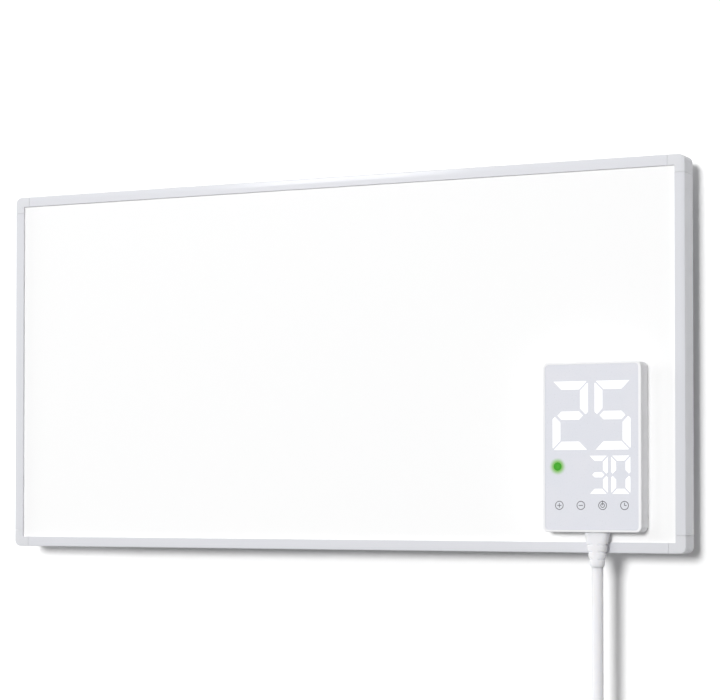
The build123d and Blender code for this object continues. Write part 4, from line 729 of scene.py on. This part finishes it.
boot = grow("strain_relief_boot", tree, skin("boot", boot_rows), {**groove, "Material": pvc})
boot.data.transform(Matrix.Translation((cord_x, cord_y, case_bottom)))
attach(boot, "panel")
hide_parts("strain_relief")

# ======== the cord's end inside the box
# The sheath ends under the clamp, and its brown, blue and green-yellow cores part from there to the
# terminals. They are told apart by their places.
sheath_top = case_bottom + 12.0 * mm
core_spread = 1.2 * mm
cores = surface("cord_cores_and_sheath", "#E9E9EC", 0.45, 1.0, relief=0.01)
blue_side = past(cores, "X", cord_x - core_spread)
green_side = past(cores, "X", cord_x + core_spread)
core_colour = tint(cores, blue_side, "#5B3420", "#1D4E9E")
core_colour = tint(cores, green_side, core_colour, "#5C9A2C")
tint(cores, past(cores, "Z", sheath_top, "LESS_THAN"), core_colour, "#E9E9EC")
dress(cores, "cord_inner_end")

# ======== the free cord
# Round white PVC mains cord, 9 mm thick and 1.75 m long. It hangs straight down from the boot, and
# what isn't needed is wound into a coil of two layers, held by a strap, with the plug below it.
cord_diameter = 2 * cord_radius
drop_points = [  # in metres, from the boot's tip to where the coil begins
    Vector((0.2325, -0.0443, -0.2505)),
    Vector((0.2325, -0.0443, -0.32801)),
    Vector((0.2325, -0.0443, -0.37031)),
    Vector((0.25885, -0.0443, -0.40339)),
]
coil_centre = Vector((0.2185, -0.0443, -0.4490))
coil_outer = 60.0 * mm
coil_pitch = cord_diameter + 0.6 * mm
coil_start = 50.0  # degrees clockwise from the top
coil_climb_turns = 0.5
coil_turns = 5 + (90 + degrees(atan(coil_pitch / (2 * pi * coil_outer))) - coil_start) / 360
middle_turn = coil_turns / 2
coil_inner = coil_outer - coil_pitch * middle_turn
points_each_turn = 24
tail_length = 40.0 * mm


def coil_point(turn, swell=1.0):
    """A point of the coil: in on the front layer, up a layer where it turns round, and out again."""
    radius = swell * (coil_inner + coil_pitch * abs(turn - middle_turn))
    angle = radians(coil_start + 360 * turn)
    climbed = min(max((turn - middle_turn) / coil_climb_turns + 0.5, 0), 1)
    layer = coil_pitch * (1 - cos(pi * climbed)) / 2
    return coil_centre + Vector((radius * sin(angle), layer, radius * cos(angle)))


# A control point lies a little outside the round that its curve follows.
swell = 1 / cos(pi / points_each_turn)
coil_steps = round(coil_turns * points_each_turn)
coil_points = [coil_point(coil_turns * step / coil_steps, swell) for step in range(1, coil_steps)]
coil_end = coil_point(coil_turns)
just_before = coil_point(coil_turns - 0.0001)
tail_top = coil_end + (coil_end - just_before).normalized() * cord_diameter
tail_end = tail_top - Vector((0, 0, tail_length))
cord_points = [*drop_points, coil_point(0), *coil_points, coil_end, tail_top, tail_end]
cord_curve = bpy.data.curves.new("mains_cord", "CURVE")
cord_curve.dimensions = "3D"
cord_line = cord_curve.splines.new("NURBS")
cord_line.points.add(len(cord_points) - 1)
for control, place in zip(cord_line.points, cord_points):
    control.co = (*place, 1.0)
cord_line.order_u = 3
cord_line.use_endpoint_u = True
cord_line.resolution_u = 6
cord_curve.bevel_depth = cord_radius
cord_curve.bevel_resolution = 6
cord_curve.use_fill_caps = True
cord_curve.materials.append(pvc)
mains_cord = put("mains_cord", cord_curve)
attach(mains_cord, "panel")
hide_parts("cord_drop", "cord_coil", "cord_tail")

# ======== the strap round the coil
# A woven hook-and-loop strap, wrapped once and a third round the turns and pressed onto itself.
# Its weave runs along and across the strap, and its ends are cut square.
strap_width = 10.0 * mm
strap_thickness = 0.9 * mm
strap_slack = 0.8 * mm
strap_angle = 70.0
strap_turn = (strap_angle - coil_start) / 360
radii = [coil_point(turn + strap_turn) - coil_centre for turn in range(6)]
radii = [Vector((row.x, row.z)).length for row in radii]
outwards = Vector((sin(radians(strap_angle)), 0, cos(radians(strap_angle))))
strap_middle = coil_centre + outwards * (min(radii) + max(radii)) / 2 + Vector((0, coil_pitch / 2, 0))
across_turns = max(radii) - min(radii) + cord_diameter + 2 * strap_slack
across_layers = coil_pitch + cord_diameter + 2 * strap_slack
strap_wrap = 1.3
strap_start = 0.1  # turns from the side away from the coil's middle
strap_climb = 0.1  # turns in which it rises onto itself
strap_gap = 0.1 * mm  # where it lies on itself
strap_roundness = 0.42  # 1 would be an ellipse
strap_steps = 120


def strap_place(turn, lift):
    """A point of the strap's rounded loop about its middle, and lifted off the turns."""
    place = []
    for size, share in ((across_turns, cos(2 * pi * turn)), (across_layers, sin(2 * pi * turn))):
        side = 1 if share >= 0 else -1
        place.append((size + 2 * lift) / 2 * abs(share) ** strap_roundness * side)
    return place


strap_points = []
for step in range(strap_steps + 1):
    turn = strap_wrap * step / strap_steps
    climb = min(max((turn - (1 - strap_climb)) / strap_climb, 0.0), 1.0)
    climb *= strap_thickness + strap_gap
    for lift in (climb, climb + strap_thickness):
        place = strap_place(turn + strap_start, lift)
        strap_points += [Vector((*place, side * strap_width)) for side in (-0.5, 0.5)]
strap_faces = []
for near in range(0, 4 * strap_steps, 4):
    far = near + 4
    for first, second in ((0, 1), (1, 3), (3, 2), (2, 0)):
        strap_faces.append([near + first, near + second, far + second, far + first])
strap_faces += [[0, 1, 3, 2], [4 * strap_steps + corner for corner in (0, 1, 3, 2)]]
strap_mesh = mesh_of("strap", strap_points, strap_faces)
face_out(strap_mesh)
deeper = Vector((0, 1, 0))
onto_bundle = Matrix((outwards, deeper, outwards.cross(deeper))).transposed().to_4x4()
strap_mesh.transform(Matrix.Translation(strap_middle) @ onto_bundle)
strap_runs = [0.0]
for before, after in zip(strap_points[::4], strap_points[4::4]):
    strap_runs.append(strap_runs[-1] + (after - before).length)
cloth_map = strap_mesh.uv_layers.new(name="Cloth")
for corner in strap_mesh.loops:
    step, edge_of_strap = divmod(corner.vertex_index, 4)
    across = edge_of_strap % 2 * strap_width + edge_of_strap // 2 * strap_thickness
    cloth_map.data[corner.index].uv = (strap_runs[step], across)

# Threads 0.9 mm apart pass over and under each other, drawn about twice as coarse as real ones.
thread_pitch = 0.9 * mm
thread_rise = 0.25 * mm
woven = surface("woven_hook_and_loop", "#C9C9CD", 0.85, 0.5, spread=0.06)
tree = woven.node_tree
cloth = add(tree, "ShaderNodeUVMap", uv_map="Cloth")
squares = add(tree, "ShaderNodeTexChecker", {"Vector": cloth, "Scale": 1 / thread_pitch})
threads = add(tree, "ShaderNodeVectorMath", {0: cloth, "Scale": pi / thread_pitch}, operation="SCALE")
threads = chain(tree, "ShaderNodeVectorMath", threads, ("SINE",), ("ABSOLUTE",))
ways = add(tree, "ShaderNodeSeparateXYZ", {0: threads})
over_and_under = {0: squares.outputs["Fac"], 2: ways.outputs["X"], 3: ways.outputs["Y"]}
weave = add(tree, "ShaderNodeMix", over_and_under, data_type="FLOAT")
raised = add(tree, "ShaderNodeBump", {"Height": weave, "Distance": thread_rise})
tree.links.new(raised.outputs["Normal"], tree.nodes["Principled BSDF"].inputs["Normal"])
# Painted shade: the gaps between the threads are painted darker and their crowns lighter, following the
# weave's height.
tint(woven, weave, "#B4B4B9", "#DEDEE1")
strap_mesh.materials.append(woven)
strap = show("cord_strap", strap_mesh)
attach(strap, "panel")
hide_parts("cord_tie")

# ======== the plug
# A round two-pin plug, moulded onto the cord in white PVC, with a fluted grip. The pins are nickel
# plated brass, and two sprung brass strips at its sides make the earth contact.
plug_low, plug_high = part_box("plug_body")
plug_radius = (plug_high.x - plug_low.x) / 2
plug_axis = Vector(((plug_low.x + plug_high.x) / 2, (plug_low.y + plug_high.y) / 2, 0))
plug_end = plug_low.z - plug_high.z
neck_bottom = -26.0 * mm
shoulder = 12.0 * mm
grip_start = neck_bottom - 6.0 * mm
grip_end = plug_end + 20.0 * mm
corner_round = 1.6 * mm
row_height = 0.7 * mm


def rounded_profile(corners, radius, steps=5):
    """A profile whose inner corners are rounded with an arc-like curve."""
    made = [corners[0]]
    for before, corner, after in zip(corners, corners[1:], corners[2:]):
        corner = Vector(corner)
        arms = [Vector(before) - corner, Vector(after) - corner]
        ends = [corner + arm.normalized() * min(radius, 0.45 * arm.length) for arm in arms]
        for step in range(steps + 1):
            share = step / steps
            made.append(tuple(ends[0].lerp(corner, share).lerp(corner.lerp(ends[1], share), share)))
    return [*made, corners[-1]]


plug_corners = [
    (0.0, 0.0),
    (cord_radius + 0.9 * mm, 0.0),
    (7.5 * mm, neck_bottom),
    (shoulder, neck_bottom),
    (shoulder, grip_start),
    (plug_radius, grip_end),
    (plug_radius, plug_end),
    (0.0, plug_end),
]
plug_outline = rounded_profile(plug_corners, corner_round)
plug_profile = []
for first, second in zip(plug_outline, plug_outline[1:]):
    pieces = max(1, round((Vector(second) - Vector(first)).length / row_height))
    plug_profile += [between(first, second, step / pieces) for step in range(pieces)]
plug_profile.append(plug_corners[-1])

grip = {
    "Grip Top": grip_start + 1.0 * mm,
    "Grip Bottom": grip_end - 2.0 * mm,
    "Flute Count": 24.0,
    "Flute Depth": 0.9 * mm,
    "Rib Pitch": 4.0 * mm,
    "Rib Depth": 0.7 * mm,
    "Rib Top": -2.0 * mm,
    "Rib Bottom": neck_bottom + 2.0 * mm,
}
tree, given = new_tree("fluted_grip", grip)
here = add(tree, "GeometryNodeInputPosition")
at = add(tree, "ShaderNodeSeparateXYZ", {0: here})
windows = []  # they fade the flutes and the ribs in and out along the plug
for part, fullness in (("Grip", 0.6), ("Rib", 1.0)):
    ends = {"From Min": given[part + " Bottom"], "From Max": given[part + " Top"]}
    risen = add(tree, "ShaderNodeMapRange", {"Value": at.outputs["Z"], **ends})
    arch = (("MULTIPLY", pi), ("SINE",), ("POWER", fullness))
    windows.append(chain(tree, "ShaderNodeMath", risen, *arch))
around = (("ARCTAN2", at.outputs["X"]), ("MULTIPLY", given["Flute Count"]), ("COSINE",))
around += (("MULTIPLY_ADD", 0.5, 0.5), ("MULTIPLY", windows[0]), ("MULTIPLY", given["Flute Depth"]))
flutes = chain(tree, "ShaderNodeMath", at.outputs["Y"], *around)
along = (("DIVIDE", given["Rib Pitch"]), ("MULTIPLY", 2 * pi), ("COSINE",), ("MAXIMUM", 0.0))
along += (("MULTIPLY", windows[1]), ("MULTIPLY", given["Rib Depth"]))
ribs = chain(tree, "ShaderNodeMath", at.outputs["Z"], *along)
press_in(tree, given, here, chain(tree, "ShaderNodeMath", flutes, ("ADD", ribs)))
plug_mesh = lathe("plug_shell", plug_profile, sides=144)
plug_shell = grow("plug_shell", tree, plug_mesh, {**grip, "Material": pvc})

# The strips lie in square grooves at the front and back of the plug.
clip_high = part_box("plug_earth_clips")[1]
groove_width = 7.0 * mm
groove_depth = 2.4 * mm
groove_top = clip_high.z - plug_high.z + 1.0 * mm
groove_mesh = bpy.data.meshes.new("clip_grooves")
shell = bmesh.new()
for side in (-1, 1):
    size = (groove_width, 2 * groove_depth, 2 * (groove_top - plug_end), 1)
    where = Matrix.Translation((0, side * plug_radius, plug_end)) @ Matrix.Diagonal(size)
    bmesh.ops.create_cube(shell, size=1.0, matrix=where)
shell.to_mesh(groove_mesh)
shell.free()
groove_tool = put("clip_grooves", groove_mesh)
grooved = plug_shell.modifiers.new("clip_grooves", "BOOLEAN")
grooved.operation = "DIFFERENCE"
grooved.object = groove_tool
grooved.solver = "EXACT"
plug_shell = show("plug_shell", plain_mesh(plug_shell))
bpy.data.objects.remove(groove_tool)
plug_shell.data.transform(Matrix.Translation(plug_axis + Vector((0, 0, plug_high.z))))
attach(plug_shell, "panel")
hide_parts("plug_body")
dress(nickel, "plug_pins")
brass = {"relief": 0.002, "stretch": (1, 1, 0.05), "Metallic": 1.0}
dress(surface("sprung_brass_strip", "#CFB67C", 0.28, 0.3, **brass), "plug_earth_clips")

# ======== the wall and the floor
# A plain white wall just behind the brackets and a pale floor below the plug. They catch the
# object's shadow where the camera looks at them from the front, and let light through elsewhere.


def seen_rays(tree):
    """1 for the camera's rays, also in reflections and through glass, and 0 for all others."""
    ray = add(tree, "ShaderNodeLightPath").outputs
    others = (("MAXIMUM", ray["Is Glossy Ray"]), ("MAXIMUM", ray["Is Transmission Ray"]))
    return chain(tree, "ShaderNodeMath", ray["Is Camera Ray"], *others)


def stage_paint(name, code, gain=1.0, lift=0.0):
    """Matt paint that shows from its front only, and only to the camera and in reflections."""
    material = bpy.data.materials.new(name)
    material.use_nodes = True
    tree = material.node_tree
    tree.nodes.clear()
    passed = add(tree, "ShaderNodeLightPath").outputs["Transparent Depth"]
    fresh = chain(tree, "ShaderNodeMath", passed, ("LESS_THAN", 0.5))
    back = add(tree, "ShaderNodeNewGeometry").outputs["Backfacing"]
    front = chain(tree, "ShaderNodeMath", 1.0, ("SUBTRACT", back))
    only = (("MULTIPLY", fresh), ("MULTIPLY", front))
    shown = chain(tree, "ShaderNodeMath", seen_rays(tree), *only)
    colour = [gain * share for share in linear(code)[:3]]
    paint = add(tree, "ShaderNodeBsdfDiffuse", {"Color": (*colour, 1.0)})
    lifted = add(tree, "ShaderNodeEmission", {"Color": linear(code), "Strength": lift})
    paint = add(tree, "ShaderNodeAddShader", {0: paint, 1: lifted})
    clear = add(tree, "ShaderNodeBsdfTransparent")
    mix = add(tree, "ShaderNodeMixShader", {0: shown, 1: clear, 2: paint})
    add(tree, "ShaderNodeOutputMaterial", {"Surface": mix})
    return material


def stage_sheet(name, corners, material):
    made = show(name, mesh_of(name, corners, [[0, 1, 2, 3]]))
    made.data.materials.append(material)


wall_y = 0.6 * mm
floor_z = -0.75
reach = 2.5
ways = ((-1, -1), (1, -1), (1, 1), (-1, 1))
wall = [(x * reach, wall_y, reach if z > 0 else floor_z) for x, z in ways]
stage_sheet("wall", wall, stage_paint("white_wall_paint", "#FFFFFF", gain=1.1))
floor = [(x * reach, y * reach, floor_z) for x, y in ways]
stage_sheet("floor", floor, stage_paint("pale_floor_paint", "#FAFAF8", lift=0.4))

# ======== light
# The room's even light and a broad, soft light from straight in front, a little above. Weaker soft
# lights fill in the sides and the back, and a strip softbox on the left brightens the upper bar.
room_level = 0.21
seen_level = 1.0
world = bpy.data.worlds.new("room")
bpy.context.scene.world = world
world.use_nodes = True
tree = world.node_tree
tree.nodes.clear()
room, white = [
    add(tree, "ShaderNodeBackground", {"Color": linear("#FFFFFF"), "Strength": level})
    for level in (room_level, seen_level)
]
mix = add(tree, "ShaderNodeMixShader", {0: seen_rays(tree), 1: room, 2: white})
add(tree, "ShaderNodeOutputWorld", {"Surface": mix})
panel_middle = Vector((0.0, -0.038, -0.09))


def place_light(lamp, azimuth, elevation, distance=3.0):
    """Stands a lamp off the panel's middle, in degrees to the right of straight on, and up."""
    azimuth, elevation = radians(azimuth), radians(elevation)
    level = cos(elevation)
    direction = Vector((sin(azimuth) * level, -cos(azimuth) * level, sin(elevation)))
    made = put(lamp.name, lamp)
    made.location = panel_middle + distance * direction
    made.rotation_mode = "QUATERNION"
    made.rotation_quaternion = direction.to_track_quat("Z", "Y")
    return made


for name, azimuth, elevation, level, width in (
    ("front_light", -0.5, 9.5, 0.7, 13),
    ("right_fill", 88, 10, 0.06, 30),
    ("left_fill", -86, 12, 0.5, 30),
    ("back_fill", 155, 35, 0.35, 30),
):
    lamp = bpy.data.lights.new(name, "SUN")
    lamp.energy = level * pi
    lamp.angle = radians(width)
    place_light(lamp, azimuth, elevation).visible_glossy = False

strip = bpy.data.lights.new("strip_softbox", "AREA")
strip.shape = "RECTANGLE"
strip.size = 0.34
strip.size_y = 0.46
strip.energy = 3.5
place_light(strip, azimuth=-26.7, elevation=19.5, distance=2.2)

# ======== the camera
# A long lens at the height of the panel's lower part and to its right, as in the photograph. The
# shift keeps the room that the photograph leaves above the panel.
camera = bpy.data.cameras.new("camera")
camera.lens = 113.5
camera.sensor_width = 36.0
camera.shift_y = 0.125
eye = put("camera", camera)
eye.location = (0.818, -1.671, -0.194)
eye.rotation_euler = (radians(90 + 1.32), 0.0, radians(25.76))
bpy.context.scene.camera = eye
bpy.context.scene.view_settings.view_transform = "Standard"
